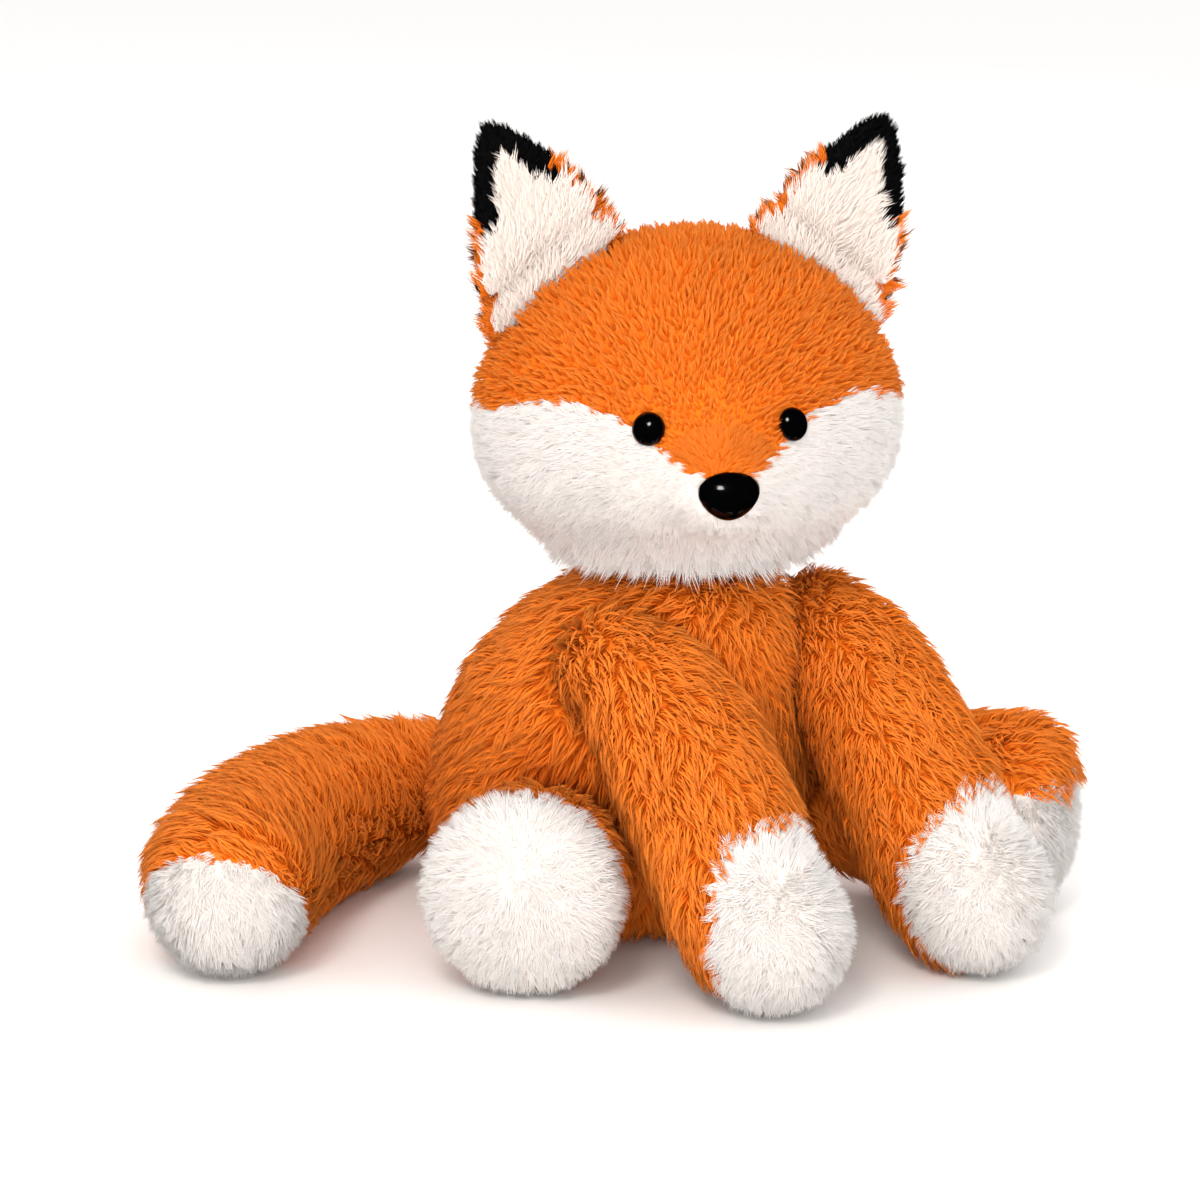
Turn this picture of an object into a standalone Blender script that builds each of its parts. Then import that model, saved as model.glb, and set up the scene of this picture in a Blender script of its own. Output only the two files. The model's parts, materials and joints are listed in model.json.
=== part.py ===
"""Seated plush fox, about 198 mm tall, in metres with +Z up.

The origin is the middle of the seat, on the floor. The fox sits facing -Y and its own left
side is +X. Each outer skin is a wall of fur fabric over a stuffing of its own, and the head,
ears, arms, legs and tail are sewn on, each round its own pivot.
"""
import math

import bmesh
import bpy
from mathutils import Matrix, Vector

# Fabric, thread and clearances
PILE = 0.0050  # wall of fur fabric: knitted backing and the pile on it
GAP = 0.0003  # between two neighbouring pieces
STITCH = 0.0014  # thickness of a ring of closing stitches
NECK_STITCH_TURNS = (math.radians(16), math.radians(34))
LIMB_STITCH_TURNS = (math.radians(42), math.radians(62))
PRESSED = 0.0012  # how much a paw, foot or tail is pressed flat on the floor
OVERRUN = 0.0600  # how far a cutter runs past what it cuts

# Torso: a pear that leans forward from the seat to the neck
TORSO_WIDTH = 0.0970
TORSO_DEPTH = 0.0930
TORSO_HEIGHT = 0.0965
TORSO_LEAN = 0.0240  # how far the neck stands in front of the seat
SEAT_PANEL_HEIGHT = 0.0070
PELLET_BAG_RADIUS = 0.0250
PELLET_BAG_HEIGHT = 0.0130

# Neck: the domed top of the torso, in a hollow under the head
NECK_RADIUS = 0.0205

# Head: a wide soft ball with a low snout
HEAD_WIDTH = 0.1050
HEAD_DEPTH = 0.0790
HEAD_CROWN = 0.0470  # from the widest level of the head up to its top
HEAD_JOWL = 0.0340  # from the widest level down to the chin
HEAD_NEST = 0.0045  # how far the chin's level lies below the top of the neck
HEAD_AHEAD = 0.0030  # how far the middle of the head stands in front of the neck
HEAD_TURN = math.radians(28)  # the head looks towards the fox's right
SNOUT_REACH = 0.0110
CHEEK_BACK = 0.0120  # the white cheeks end this far behind the middle of the head

# Eyes and nose, on shanks with washers behind the fabric
EYE_RADIUS = 0.0042
EYE_BULGE = 0.0034
EYE_SINK = 0.0016
NOSE_WIDTH = 0.0150
NOSE_HEIGHT = 0.0122
NOSE_BULGE = 0.0060
NOSE_SINK = 0.0012
SHANK_RADIUS = 0.0015
SHANK_BARB = 0.0005
WASHER_RADIUS = 0.0045
WASHER_THICKNESS = 0.0012
EYE_WASHER_SLACK = 0.0010  # from the inside of the fabric to the washer
NOSE_WASHER_SLACK = 0.0026

# Ears
EAR_BASE_WIDTH = 0.0420
EAR_LENGTH = 0.0386
EAR_SWEEP = 0.0115  # how far the tip leans back over the inner end of the base
EAR_ROLL = 0.0045  # radius of the sewn roll along the foot of the ear
EAR_BACK_THICKNESS = 0.0034
EAR_LINING_THICKNESS = 0.0026
EAR_RIM = 0.0030  # the edge that shows round the lining
EAR_CUP = 0.0050  # how far the side edges curl forward
EAR_TIP_LENGTH = 0.0170  # the black end, measured down from the tip
EAR_SIT = 0.0025  # how deep the middle of the roll lies under the head's surface
EAR_SLANT = math.radians(40)
EAR_OUT = 0.0340  # from the middle of the head to the middle of the ear's foot
EAR_SET_BACK = 0.0030

# Arms
SHOULDER_OUT = 0.0318
SHOULDER_AHEAD = 0.0360
SHOULDER_HEIGHT = 0.0730
SHOULDER_RADIUS = 0.0135
ARM_RADIUS = 0.0188
PAW_RADIUS = 0.0200
RIGHT_PAW_AHEAD = 0.0890  # from the seat's middle to the middle of the paw
LEFT_PAW_AHEAD = 0.0950
PAW_SEAM = 0.0080  # the white paw starts this far before the middle of its ball
RIGHT_PAW_SPREAD = -0.0050  # how much further out than the shoulder the paw stands
LEFT_PAW_SPREAD = -0.0010

# Legs
HIP_OUT = 0.0535  # from the seat's middle to the hip's pivot
HIP_HEIGHT = 0.0250
HIP_RADIUS = 0.0165
LEG_RADIUS = 0.0228
FOOT_RADIUS = 0.0252
FOOT_ROUND = 0.0130  # depth of the rounded sole
FOOT_SEAM = 0.0050
HIP_TURN = math.radians(58)  # of each hip's pivot, from straight ahead
RIGHT_LEG_LENGTH = 0.0260
RIGHT_LEG_TURN = math.radians(50)
LEFT_LEG_LENGTH = 0.0480
LEFT_LEG_TURN = math.radians(39)

# Tail: laid on the floor round the fox's right side
TAIL_ROOT_BACK = 0.0530
TAIL_ROOT_ASIDE = 0.0080
TAIL_ROOT_HEIGHT = 0.0230
TAIL_ROOT_RADIUS = 0.0135
TAIL_RADIUS = 0.0215
TAIL_TIP_RADIUS = 0.0212
TAIL_SEAM = -0.0030
TAIL_SEAM_DIP = math.radians(32)  # how far the edge of the white faces down
TAIL_REACH = 0.1100  # how far out the middle of the tail's end lies
TAIL_END_BACK = 0.0090
TAIL_SAG = 0.0170  # height that the first bend of the tail is drawn down to

# Facets
BODY_SEGMENTS = 24
HEAD_SEGMENTS = 24
HEAD_RINGS = 12
LIMB_SEGMENTS = 12
BALL_SEGMENTS = 16
SMALL_SEGMENTS = 12

ORANGE = (0.86, 0.21, 0.035)
WHITE = (0.90, 0.86, 0.83)
BLACK = (0.008, 0.008, 0.010)
FILLING = (0.85, 0.85, 0.82)
THREAD = (0.55, 0.13, 0.03)
WASHER = (0.80, 0.80, 0.78)
PELLETS = (0.35, 0.50, 0.62)

# Height, half width, half depth and lean of the torso, as shares of its named sizes
TORSO_SHARES = (
    (0.00, 0.66, 0.66, 0.00),
    (0.03, 0.82, 0.82, 0.00),
    (0.10, 0.94, 0.94, 0.00),
    (0.20, 0.99, 0.99, 0.00),
    (0.31, 1.00, 1.00, 0.00),
    (0.44, 0.98, 0.99, 0.10),
    (0.57, 0.95, 0.97, 0.27),
    (0.69, 0.88, 0.90, 0.48),
    (0.80, 0.75, 0.76, 0.70),
    (0.88, 0.58, 0.59, 0.86),
    (0.93, 0.42, 0.43, 0.96),
)
NECK_DOME_SHARES = (0.58, 0.72, 0.86, 0.95)  # of a quarter turn, from level to the top
NECK_LEVEL_SHARE = 0.79  # height of the neck's pivot, as a share of the torso's height
SIDE_SEAM_SHARE = -0.05  # place of the side seams, as a share of the torso's depth

# Across and up, as shares of the head's half width and of its jowl: the edge of the white
CHEEK_EDGE_SHARES = (
    (0.00, -0.16),
    (0.13, -0.12),
    (0.30, 0.06),
    (0.42, 0.20),
    (0.58, 0.27),
    (0.76, 0.25),
    (1.02, 0.10),
    (1.60, 0.05),
)
EYE_SHARES = (0.33, 0.12)  # across and up on the unit ball that the head is shaped from
NOSE_SHARES = (0.00, -0.19)
SNOUT_SHARES = (0.42, 0.55, -0.25)  # spread across, spread up, and level of the snout
JOWL_POWER_SHARE = 0.80  # below 1 fills out the cheeks

# Height up the ear and half width, as shares of its length and its half base
EAR_SHARES = (
    (0.22, 0.93),
    (0.42, 0.79),
    (0.62, 0.60),
    (0.80, 0.40),
    (0.92, 0.23),
    (1.00, 0.08),
)
TAIL_END_SHARE = 0.8  # roundness of the tail's end
EAR_FOOT_SHARES = (-0.92, -0.60, 0.00, 0.60)  # levels of the roll, as shares of its radius
LINING_FOOT_SHARE = 1.5  # where the lining begins, as a share of the roll's radius
LINING_END_SHARE = 0.88  # where it ends, as a share of the ear's length

# Courses of the arms and the tail between their ends: forward and up as shares of the arm's
# reach and drop, out and back as shares of the tail's reach and of its root's place
ARM_COURSE_SHARES = ((0.34, 0.96), (0.70, 0.156), (1.00, 0.00))
TAIL_COURSE_SHARES = ((0.34, 1.42), (0.82, 0.74))
SWELL_SHARE = 0.5  # how much of its length a limb takes to grow to its full radius
ROOT_DOME_SHARES = (0.20, 0.52, 0.80)  # of a quarter turn, from the pole to the equator
END_DOME_SHARES = (0.34, 0.66, 0.90)  # of a quarter turn, from the equator to the pole

UP = Vector((0, 0, 1))
ACROSS = Vector((1, 0, 0))
FORWARD = Vector((0, -1, 0))
ORIGIN = Vector((0, 0, 0))
NUDGE_SHARE = 0.01  # a small step along a form, for finding its direction


def clear_scene():
    for obj in list(bpy.data.objects):
        bpy.data.objects.remove(obj, do_unlink=True)


def material(name, colour, roughness):
    made = bpy.data.materials.new(name)
    made.use_nodes = True
    shader = made.node_tree.nodes["Principled BSDF"]
    shader.inputs["Base Color"].default_value = (*colour, 1.0)
    shader.inputs["Roughness"].default_value = roughness
    shader.inputs["Metallic"].default_value = 0.0
    made.diffuse_color = (*colour, 1.0)
    return made


def make_object(name, bm, finish=None, parent=None, place=None):
    """Make an object of a finished mesh and hang it on its parent."""
    mesh = bpy.data.meshes.new(name)
    bm.to_mesh(mesh)
    bm.free()
    mesh.shade_smooth()
    mesh.set_sharp_from_angle(angle=math.radians(40))
    obj = bpy.data.objects.new(name, mesh)
    bpy.context.scene.collection.objects.link(obj)
    if finish is not None:
        mesh.materials.append(finish)
    obj.parent = parent
    if place is not None:
        obj.matrix_local = place
    return obj


def make_cutter(name, bm, parent=None, place=None):
    obj = make_object(name, bm, None, parent, place)
    obj.hide_render = True
    obj.display_type = "WIRE"
    return obj


def make_pivot(name, place, parent=None):
    empty = bpy.data.objects.new(name, None)
    bpy.context.scene.collection.objects.link(empty)
    empty.parent = parent
    empty.matrix_local = place
    return empty


def cut(obj, cutter, operation="DIFFERENCE"):
    boolean = obj.modifiers.new(cutter.name, "BOOLEAN")
    boolean.operation = operation
    boolean.solver = "EXACT"
    boolean.object = cutter


def frame_at(centre, direction, side_hint=ACROSS):
    """A placing whose Z runs along the direction and whose X stays near the side hint."""
    forward = direction.normalized()
    side = (side_hint - forward * side_hint.dot(forward)).normalized()
    turned = Matrix((side, forward.cross(side), forward)).transposed()
    return Matrix.Translation(centre) @ turned.to_4x4()


def ring(bm, place, half_x, half_y, segments):
    size = Matrix.Diagonal((half_x, half_y, 1.0, 1.0))
    made = bmesh.ops.create_circle(
        bm, cap_ends=False, segments=segments, radius=1.0, matrix=place @ size
    )
    return list({edge for vert in made["verts"] for edge in vert.link_edges})


def loft(rings, segments):
    """Bridge rings, each a placing and two half sizes, and close both ends."""
    bm = bmesh.new()
    last = None
    for place, half_x, half_y in rings:
        edges = ring(bm, place, half_x, half_y, segments)
        if last is None:
            bmesh.ops.contextual_create(bm, geom=edges)
        else:
            bmesh.ops.bridge_loops(bm, edges=last + edges)
        last = edges
    bmesh.ops.contextual_create(bm, geom=last)
    bmesh.ops.recalc_face_normals(bm, faces=bm.faces)
    return bm


def ball(radius, centre=ORIGIN):
    bm = bmesh.new()
    bmesh.ops.create_uvsphere(
        bm,
        u_segments=BALL_SEGMENTS,
        v_segments=BALL_SEGMENTS // 2,
        radius=radius,
        matrix=Matrix.Translation(centre),
    )
    return bm


def turned(outline, segments, closed=False):
    """Spin an outline of radius and height pairs round the Z axis."""
    bm = bmesh.new()
    points = [bm.verts.new((radius, 0, height)) for radius, height in outline]
    pairs = list(zip(points, points[1:]))
    if closed:
        pairs.append((points[-1], points[0]))
    edges = [bm.edges.new(pair) for pair in pairs]
    bmesh.ops.spin(
        bm,
        geom=points + edges,
        cent=ORIGIN,
        axis=UP,
        angle=math.tau,
        steps=segments,
        use_merge=True,
    )
    bmesh.ops.remove_doubles(bm, verts=bm.verts, dist=GAP / 100)
    bmesh.ops.recalc_face_normals(bm, faces=bm.faces)
    return bm


def shrink(bm, depth):
    """Move a closed form's surface inwards along its normals."""
    bm.normal_update()
    moved = [(vert, vert.normal * depth) for vert in bm.verts]
    for vert, step in moved:
        vert.co -= step
    return bm


def hollow(outer, inner):
    """Put the inner form, turned inside out, into the outer one."""
    bmesh.ops.reverse_faces(inner, faces=inner.faces)
    carrier = bpy.data.meshes.new("inner form")
    inner.to_mesh(carrier)
    inner.free()
    outer.from_mesh(carrier)
    bpy.data.meshes.remove(carrier)
    return outer


def keep_below(bm, point, normal):
    """Cut with a plane, keep the side that its normal points away from, close the cut."""
    made = bmesh.ops.bisect_plane(
        bm,
        geom=bm.verts[:] + bm.edges[:] + bm.faces[:],
        dist=GAP / 100,
        plane_co=point,
        plane_no=normal,
        clear_outer=True,
    )
    rim = [item for item in made["geom_cut"] if isinstance(item, bmesh.types.BMEdge)]
    if rim:
        lid = bmesh.ops.triangle_fill(bm, use_beauty=True, edges=rim, normal=normal)
        for face in [item for item in lid["geom"] if isinstance(item, bmesh.types.BMFace)]:
            face.normal_update()
            if face.normal.dot(normal) < 0:
                face.normal_flip()
    return bm


def bezier(points, share):
    """A point on the smooth curve that a few control points pull."""
    while len(points) > 1:
        points = [a.lerp(b, share) for a, b in zip(points, points[1:])]
    return points[0]


def polar(distance, turn, height):
    """A point round the seat's middle, the turn measured from straight ahead."""
    return Vector((distance * math.sin(turn), -distance * math.cos(turn), height))


NECK_PIVOT = Vector((0, -TORSO_LEAN, TORSO_HEIGHT * NECK_LEVEL_SHARE))
NECK_TOP = NECK_PIVOT + UP * NECK_RADIUS
HEAD_CENTRE = NECK_TOP + FORWARD * HEAD_AHEAD + UP * (HEAD_JOWL - HEAD_NEST)
FACET_SHARE = math.cos(math.pi / BALL_SEGMENTS)  # of its radius, to the middle of a facet


def torso_form(depth=0.0):
    """The pear of the body, with a dome on top that is round about the neck's pivot."""
    rings = []
    for height, width, thick, lean in TORSO_SHARES:
        centre = Vector((0, -lean * TORSO_LEAN, height * TORSO_HEIGHT))
        place = Matrix.Translation(centre)
        rings.append((place, width * TORSO_WIDTH / 2, thick * TORSO_DEPTH / 2))
    for share in NECK_DOME_SHARES:
        angle = share * math.pi / 2
        centre = NECK_PIVOT + UP * NECK_RADIUS * math.sin(angle)
        radius = NECK_RADIUS * math.cos(angle)
        rings.append((Matrix.Translation(centre), radius, radius))
    return shrink(loft(rings, BODY_SEGMENTS), depth)


def head_point(unit):
    """The head's surface over a point of the unit ball, from the head's own middle."""
    spread, lift, level = SNOUT_SHARES
    snout = math.exp(-((unit.x / spread) ** 2) - ((unit.z - level) / lift) ** 2)
    if unit.z > 0:
        height = unit.z * HEAD_CROWN
    else:
        height = -abs(unit.z) ** JOWL_POWER_SHARE * HEAD_JOWL
    front = unit.y * HEAD_DEPTH / 2 - SNOUT_REACH * snout * max(0.0, -unit.y)
    return Vector((unit.x * HEAD_WIDTH / 2, front, height))


def head_form(depth=0.0):
    bm = bmesh.new()
    bmesh.ops.create_uvsphere(bm, u_segments=HEAD_SEGMENTS, v_segments=HEAD_RINGS, radius=1.0)
    for vert in bm.verts:
        vert.co = head_point(vert.co.normalized())
    return shrink(bm, depth)


def face_place(across, up, sink):
    """A placing on the front of the head, Z pointing out, at a depth under the surface."""
    def surface(x, z):
        return head_point(Vector((x, -math.sqrt(1 - x * x - z * z), z)))

    here = surface(across, up)
    along = surface(across + NUDGE_SHARE, up) - here
    rise = surface(across, up + NUDGE_SHARE) - here
    normal = along.cross(rise).normalized()
    return frame_at(here - normal * sink, normal)


def dome(radius, bulge, grow):
    """Outline of a bead's front, from its crown on the axis to its rim, grown all round."""
    steps = 6
    angles = [math.pi / 2 * step / steps for step in range(steps + 1)]
    return [((radius + grow) * math.sin(a), (bulge + grow) * math.cos(a)) for a in angles]


def stud(radius, bulge, length, grow=0.0):
    """A bead on a shank with a barb, or, grown, the room that it needs in the fabric."""
    shank = SHANK_RADIUS + grow
    barb = shank + SHANK_BARB
    end = length + grow
    outline = dome(radius, bulge, grow) + [
        (radius + grow, -grow),
        (shank, -grow),
        (shank, -end + 4 * SHANK_BARB),
        (barb, -end + 2 * SHANK_BARB),
        (shank, -end),
        (0, -end),
    ]
    return turned(outline, SMALL_SEGMENTS)


def nose_shape(bm, grow=0.0):
    """Widen a round stud's bead to a soft triangle with its broad side up."""
    edge = NOSE_HEIGHT / 2
    for vert in bm.verts:
        if vert.co.z < -GAP - grow:
            continue
        up = vert.co.y / edge
        vert.co.x *= NOSE_WIDTH / NOSE_HEIGHT * (1 + NOSE_TAPER_SHARE * up)
    return bm


NOSE_TAPER_SHARE = 0.24  # how much broader the nose is at its top and narrower at its foot


class Limb:
    """A sewn-on limb: a tube along a curve, ball-ended at its root, rounded at its far end.

    The radii are those of the root, the middle and the far end. The seam is how far before
    the last point the end piece begins.
    """

    def __init__(self, points, radii, end_depth, seam, steps, side_hint, dip=0.0):
        self.points = points
        self.radii = radii
        self.end_depth = end_depth
        self.steps = steps
        self.side_hint = side_hint
        self.start = (bezier(points, NUDGE_SHARE) - points[0]).normalized()
        self.heading = (points[-1] - bezier(points, 1 - NUDGE_SHARE)).normalized()
        self.seam = points[-1] - self.heading * seam
        self.seam_normal = self.heading * math.cos(dip) - UP * math.sin(dip)

    def rings(self):
        root, middle, end = self.radii
        start = self.start
        for share in ROOT_DOME_SHARES:
            angle = share * math.pi / 2
            centre = self.points[0] - start * root * math.cos(angle)
            width = root * math.sin(angle)
            yield frame_at(centre, start, self.side_hint), width, width
        for step in range(self.steps):
            share = step / (self.steps - 1)
            swell = math.sin(min(share / SWELL_SHARE, 1.0) * math.pi / 2)
            width = root + (middle - root) * swell + (end - middle) * share**2
            behind = bezier(self.points, max(0.0, share - NUDGE_SHARE))
            ahead = bezier(self.points, min(1.0, share + NUDGE_SHARE))
            centre = bezier(self.points, share)
            yield frame_at(centre, ahead - behind, self.side_hint), width, width
        for share in END_DOME_SHARES:
            angle = share * math.pi / 2
            centre = self.points[-1] + self.heading * self.end_depth * math.sin(angle)
            width = end * math.cos(angle)
            yield frame_at(centre, self.heading, self.side_hint), width, width

    def form(self, depth=0.0):
        return shrink(loft(self.rings(), LIMB_SEGMENTS), depth)

    def skin(self):
        return keep_below(hollow(self.form(), self.form(PILE)), ORIGIN, -UP)

    def sleeve(self):
        return keep_below(self.skin(), self.seam, self.seam_normal)

    def tip(self):
        return keep_below(self.skin(), self.seam + self.seam_normal * GAP, -self.seam_normal)

    def stuffing(self):
        return self.form(PILE + GAP)


def arm(side, spread, ahead):
    """An arm that falls forward from the shoulder to a paw on the floor.

    The side is 1 for the fox's left and -1 for its right.
    """
    paw_out = SHOULDER_OUT + spread
    paw_height = PAW_RADIUS - PRESSED
    reach = ahead - SHOULDER_AHEAD
    shoulder = Vector((side * SHOULDER_OUT, -SHOULDER_AHEAD, SHOULDER_HEIGHT))
    points = [shoulder]
    for forward, level in ARM_COURSE_SHARES:
        height = paw_height + level * (SHOULDER_HEIGHT - paw_height)
        points.append(Vector((side * paw_out, -SHOULDER_AHEAD - forward * reach, height)))
    radii = (SHOULDER_RADIUS, ARM_RADIUS, PAW_RADIUS)
    return Limb(points, radii, PAW_RADIUS, PAW_SEAM, 7, ACROSS)


def leg(side, leg_turn, length):
    """A short leg that points out from the hip, with the sole of its foot at the end."""
    hip = polar(HIP_OUT, side * HIP_TURN, HIP_HEIGHT)
    foot = hip + polar(length, side * leg_turn, 0)
    foot.z = FOOT_RADIUS - PRESSED
    radii = (HIP_RADIUS, LEG_RADIUS, FOOT_RADIUS)
    return Limb([hip, hip.lerp(foot, 0.5), foot], radii, FOOT_ROUND, FOOT_SEAM, 4, UP)


def tail():
    """The tail curls from the back of the seat round the fox's right side."""
    height = TAIL_TIP_RADIUS - PRESSED
    points = [Vector((-TAIL_ROOT_ASIDE, TAIL_ROOT_BACK, TAIL_ROOT_HEIGHT))]
    for (out, back), level in zip(TAIL_COURSE_SHARES, (TAIL_SAG, height)):
        points.append(Vector((-out * TAIL_REACH, back * TAIL_ROOT_BACK, level)))
    points.append(Vector((-TAIL_REACH, TAIL_END_BACK, height)))
    radii = (TAIL_ROOT_RADIUS, TAIL_RADIUS, TAIL_TIP_RADIUS)
    end_depth = TAIL_TIP_RADIUS * TAIL_END_SHARE
    return Limb(points, radii, end_depth, TAIL_SEAM, 8, UP, TAIL_SEAM_DIP)


def socket_cutter(name, centre, radius, parent=None):
    """The hollow that a ball end turns in with its ring of stitches."""
    outer = (radius + GAP) / FACET_SHARE + STITCH
    return make_cutter(name, ball((outer + GAP) / FACET_SHARE**2, centre), parent)


def stitch_ring(name, pivot, radius, inward, turns, finish):
    """A ring of stitches round the closed end of a sewn-on piece.

    The turns are how far from the inward direction the ring begins and ends.
    """
    inner = (radius + GAP) / FACET_SHARE
    outer = inner + STITCH
    low, high = turns
    angles = [low + (high - low) * step / 3 for step in range(4)]
    outline = [(outer * math.sin(a), outer * math.cos(a)) for a in angles]
    outline += [(inner * math.sin(a), inner * math.cos(a)) for a in reversed(angles)]
    bm = turned(outline, BALL_SEGMENTS, closed=True)
    return make_object(name, bm, finish, pivot, frame_at(ORIGIN, inward))


def build_limb(limb, pivot, names, finishes):
    """Make a limb's sleeve, end piece and stuffing about its own pivot."""
    home = Matrix.Translation(-limb.points[0])
    shapes = (limb.sleeve(), limb.tip(), limb.stuffing())
    for name, bm, finish in zip(names, shapes, finishes):
        bmesh.ops.transform(bm, matrix=home, verts=bm.verts)
        make_object(name, bm, finish, pivot)


def ear_width(share):
    """Half width of the ear at a share of its length."""
    table = ((0.0, 1.0),) + EAR_SHARES
    for (low, wide), (high, narrow) in zip(table, table[1:]):
        if share <= high:
            blend = max(0.0, (share - low) / (high - low))
            return (wide + (narrow - wide) * blend) * EAR_BASE_WIDTH / 2
    return table[-1][1] * EAR_BASE_WIDTH / 2


def ear_leaf(levels, middle, narrower=0.0):
    """A cupped leaf lofted from crescent sections: height and half thickness at each level."""
    bm = bmesh.new()
    last = None
    for height, half_thickness in levels:
        share = max(0.0, height / EAR_LENGTH)
        half_width = ear_width(share) - narrower
        centre = -EAR_SWEEP * share
        place = Matrix.Translation((centre, 0, height))
        edges = ring(bm, place, half_width, half_thickness, LIMB_SEGMENTS)
        for vert in {vert for edge in edges for vert in edge.verts}:
            curl = ((vert.co.x - centre) / ear_width(share)) ** 2
            vert.co.y += middle - EAR_CUP * curl * min(1.0, share / EAR_SHARES[0][0])
        if last is None:
            bmesh.ops.contextual_create(bm, geom=edges)
        else:
            bmesh.ops.bridge_loops(bm, edges=last + edges)
        last = edges
    bmesh.ops.contextual_create(bm, geom=last)
    bmesh.ops.recalc_face_normals(bm, faces=bm.faces)
    return bm


def ear_back_form():
    half = EAR_BACK_THICKNESS / 2
    levels = []
    for share in EAR_FOOT_SHARES:
        levels.append((share * EAR_ROLL, EAR_ROLL * math.sqrt(1 - share * share)))
    levels.append((EAR_ROLL, half))
    levels += [(share * EAR_LENGTH, half) for share, _ in EAR_SHARES[:-1]]
    levels.append((EAR_LENGTH, half / 2))
    return ear_leaf(levels, 0.0)


def ear_lining_form():
    half = EAR_LINING_THICKNESS / 2
    foot = EAR_ROLL * LINING_FOOT_SHARE
    levels = [(foot, half)]
    levels += [(share * EAR_LENGTH, half) for share, _ in EAR_SHARES[:-2]]
    levels.append((LINING_END_SHARE * EAR_LENGTH, half / 2))
    middle = -(EAR_BACK_THICKNESS / 2 + GAP + half)
    return ear_leaf(levels, middle, EAR_RIM)


def build_torso(finishes):
    seat_top = UP * SEAT_PANEL_HEIGHT
    seam = Vector((0, TORSO_DEPTH * SIDE_SEAM_SHARE, 0))

    def skin():
        return hollow(torso_form(), torso_form(PILE))

    seat = keep_below(skin(), seat_top, UP)
    above = seat_top + UP * GAP
    chest = keep_below(keep_below(skin(), above, -UP), seam, -FORWARD)
    back = keep_below(keep_below(skin(), above, -UP), seam - FORWARD * GAP, FORWARD)
    panels = [
        make_object("seat_panel", seat, finishes["orange"]),
        make_object("chest_panel", chest, finishes["orange"]),
        make_object("back_panel", back, finishes["orange"]),
    ]
    filling = make_object("torso_stuffing", torso_form(PILE + GAP), finishes["filling"])
    bag_floor = PILE + GAP + GAP
    bag_rim = PELLET_BAG_HEIGHT / 3
    outline = [
        (0, 0),
        (PELLET_BAG_RADIUS - bag_rim, 0),
        (PELLET_BAG_RADIUS, bag_rim),
        (PELLET_BAG_RADIUS, 2 * bag_rim),
        (PELLET_BAG_RADIUS - bag_rim, PELLET_BAG_HEIGHT),
        (0, PELLET_BAG_HEIGHT),
    ]
    bag = turned(outline, BODY_SEGMENTS)
    make_object("seat_pellet_bag", bag, finishes["pellets"], None,
                Matrix.Translation(UP * bag_floor))
    room = [
        (0, -OVERRUN),
        (PELLET_BAG_RADIUS + GAP, -OVERRUN),
        (PELLET_BAG_RADIUS + GAP, 2 * bag_rim + GAP),
        (PELLET_BAG_RADIUS - bag_rim + GAP, PELLET_BAG_HEIGHT + GAP),
        (0, PELLET_BAG_HEIGHT + GAP),
    ]
    cut(filling, make_cutter("pellet_bag_room", turned(room, BODY_SEGMENTS), None,
                             Matrix.Translation(UP * bag_floor)))
    return panels, filling


def build_head(pivot, finishes):
    home = Matrix.Translation(HEAD_CENTRE - NECK_PIVOT)

    def placed(bm):
        bmesh.ops.transform(bm, matrix=home, verts=bm.verts)
        return bm

    def skin():
        return hollow(head_form(), head_form(PILE))

    def cheek_room(name, drop):
        """A block under the edge of the white, from the front of the head to its cheeks."""
        half = HEAD_WIDTH / 2
        right = [(-x * half, z * HEAD_JOWL - drop) for x, z in reversed(CHEEK_EDGE_SHARES)]
        left = [(x * half, z * HEAD_JOWL - drop) for x, z in CHEEK_EDGE_SHARES[1:]]
        edge = right + left
        low = -HEAD_JOWL - OVERRUN
        outline = edge + [(edge[-1][0], low), (edge[0][0], low)]
        bm = bmesh.new()
        back = CHEEK_BACK - drop
        corners = [bm.verts.new((x, back, z)) for x, z in outline]
        face = bm.faces.new(corners)
        made = bmesh.ops.extrude_face_region(bm, geom=[face])
        moved = [item for item in made["geom"] if isinstance(item, bmesh.types.BMVert)]
        reach = FORWARD * (HEAD_DEPTH + OVERRUN)
        bmesh.ops.translate(bm, verts=moved, vec=reach)
        bmesh.ops.recalc_face_normals(bm, faces=bm.faces)
        return make_cutter(name, placed(bm), pivot)

    crown = make_object("head_crown", placed(skin()), finishes["orange"], pivot)
    cut(crown, cheek_room("crown_edge", 0.0))
    filling = make_object("head_stuffing", placed(head_form(PILE + 3 * GAP)),
                          finishes["filling"], pivot)
    cheeks = []
    cheek_edge = cheek_room("cheek_edge", 2 * GAP)
    for name, side in (("left_cheek", 1), ("right_cheek", -1)):
        half = keep_below(skin(), ACROSS * side * GAP / 2, -ACROSS * side)
        cheek = make_object(name, placed(half), finishes["white"], pivot)
        cut(cheek, cheek_edge, "INTERSECT")
        cheeks.append(cheek)
    neck_hollow = socket_cutter("neck_hollow", ORIGIN, NECK_RADIUS, pivot)
    for piece in (crown, *cheeks, filling):
        cut(piece, neck_hollow)
    return home, crown, cheeks, filling


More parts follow.
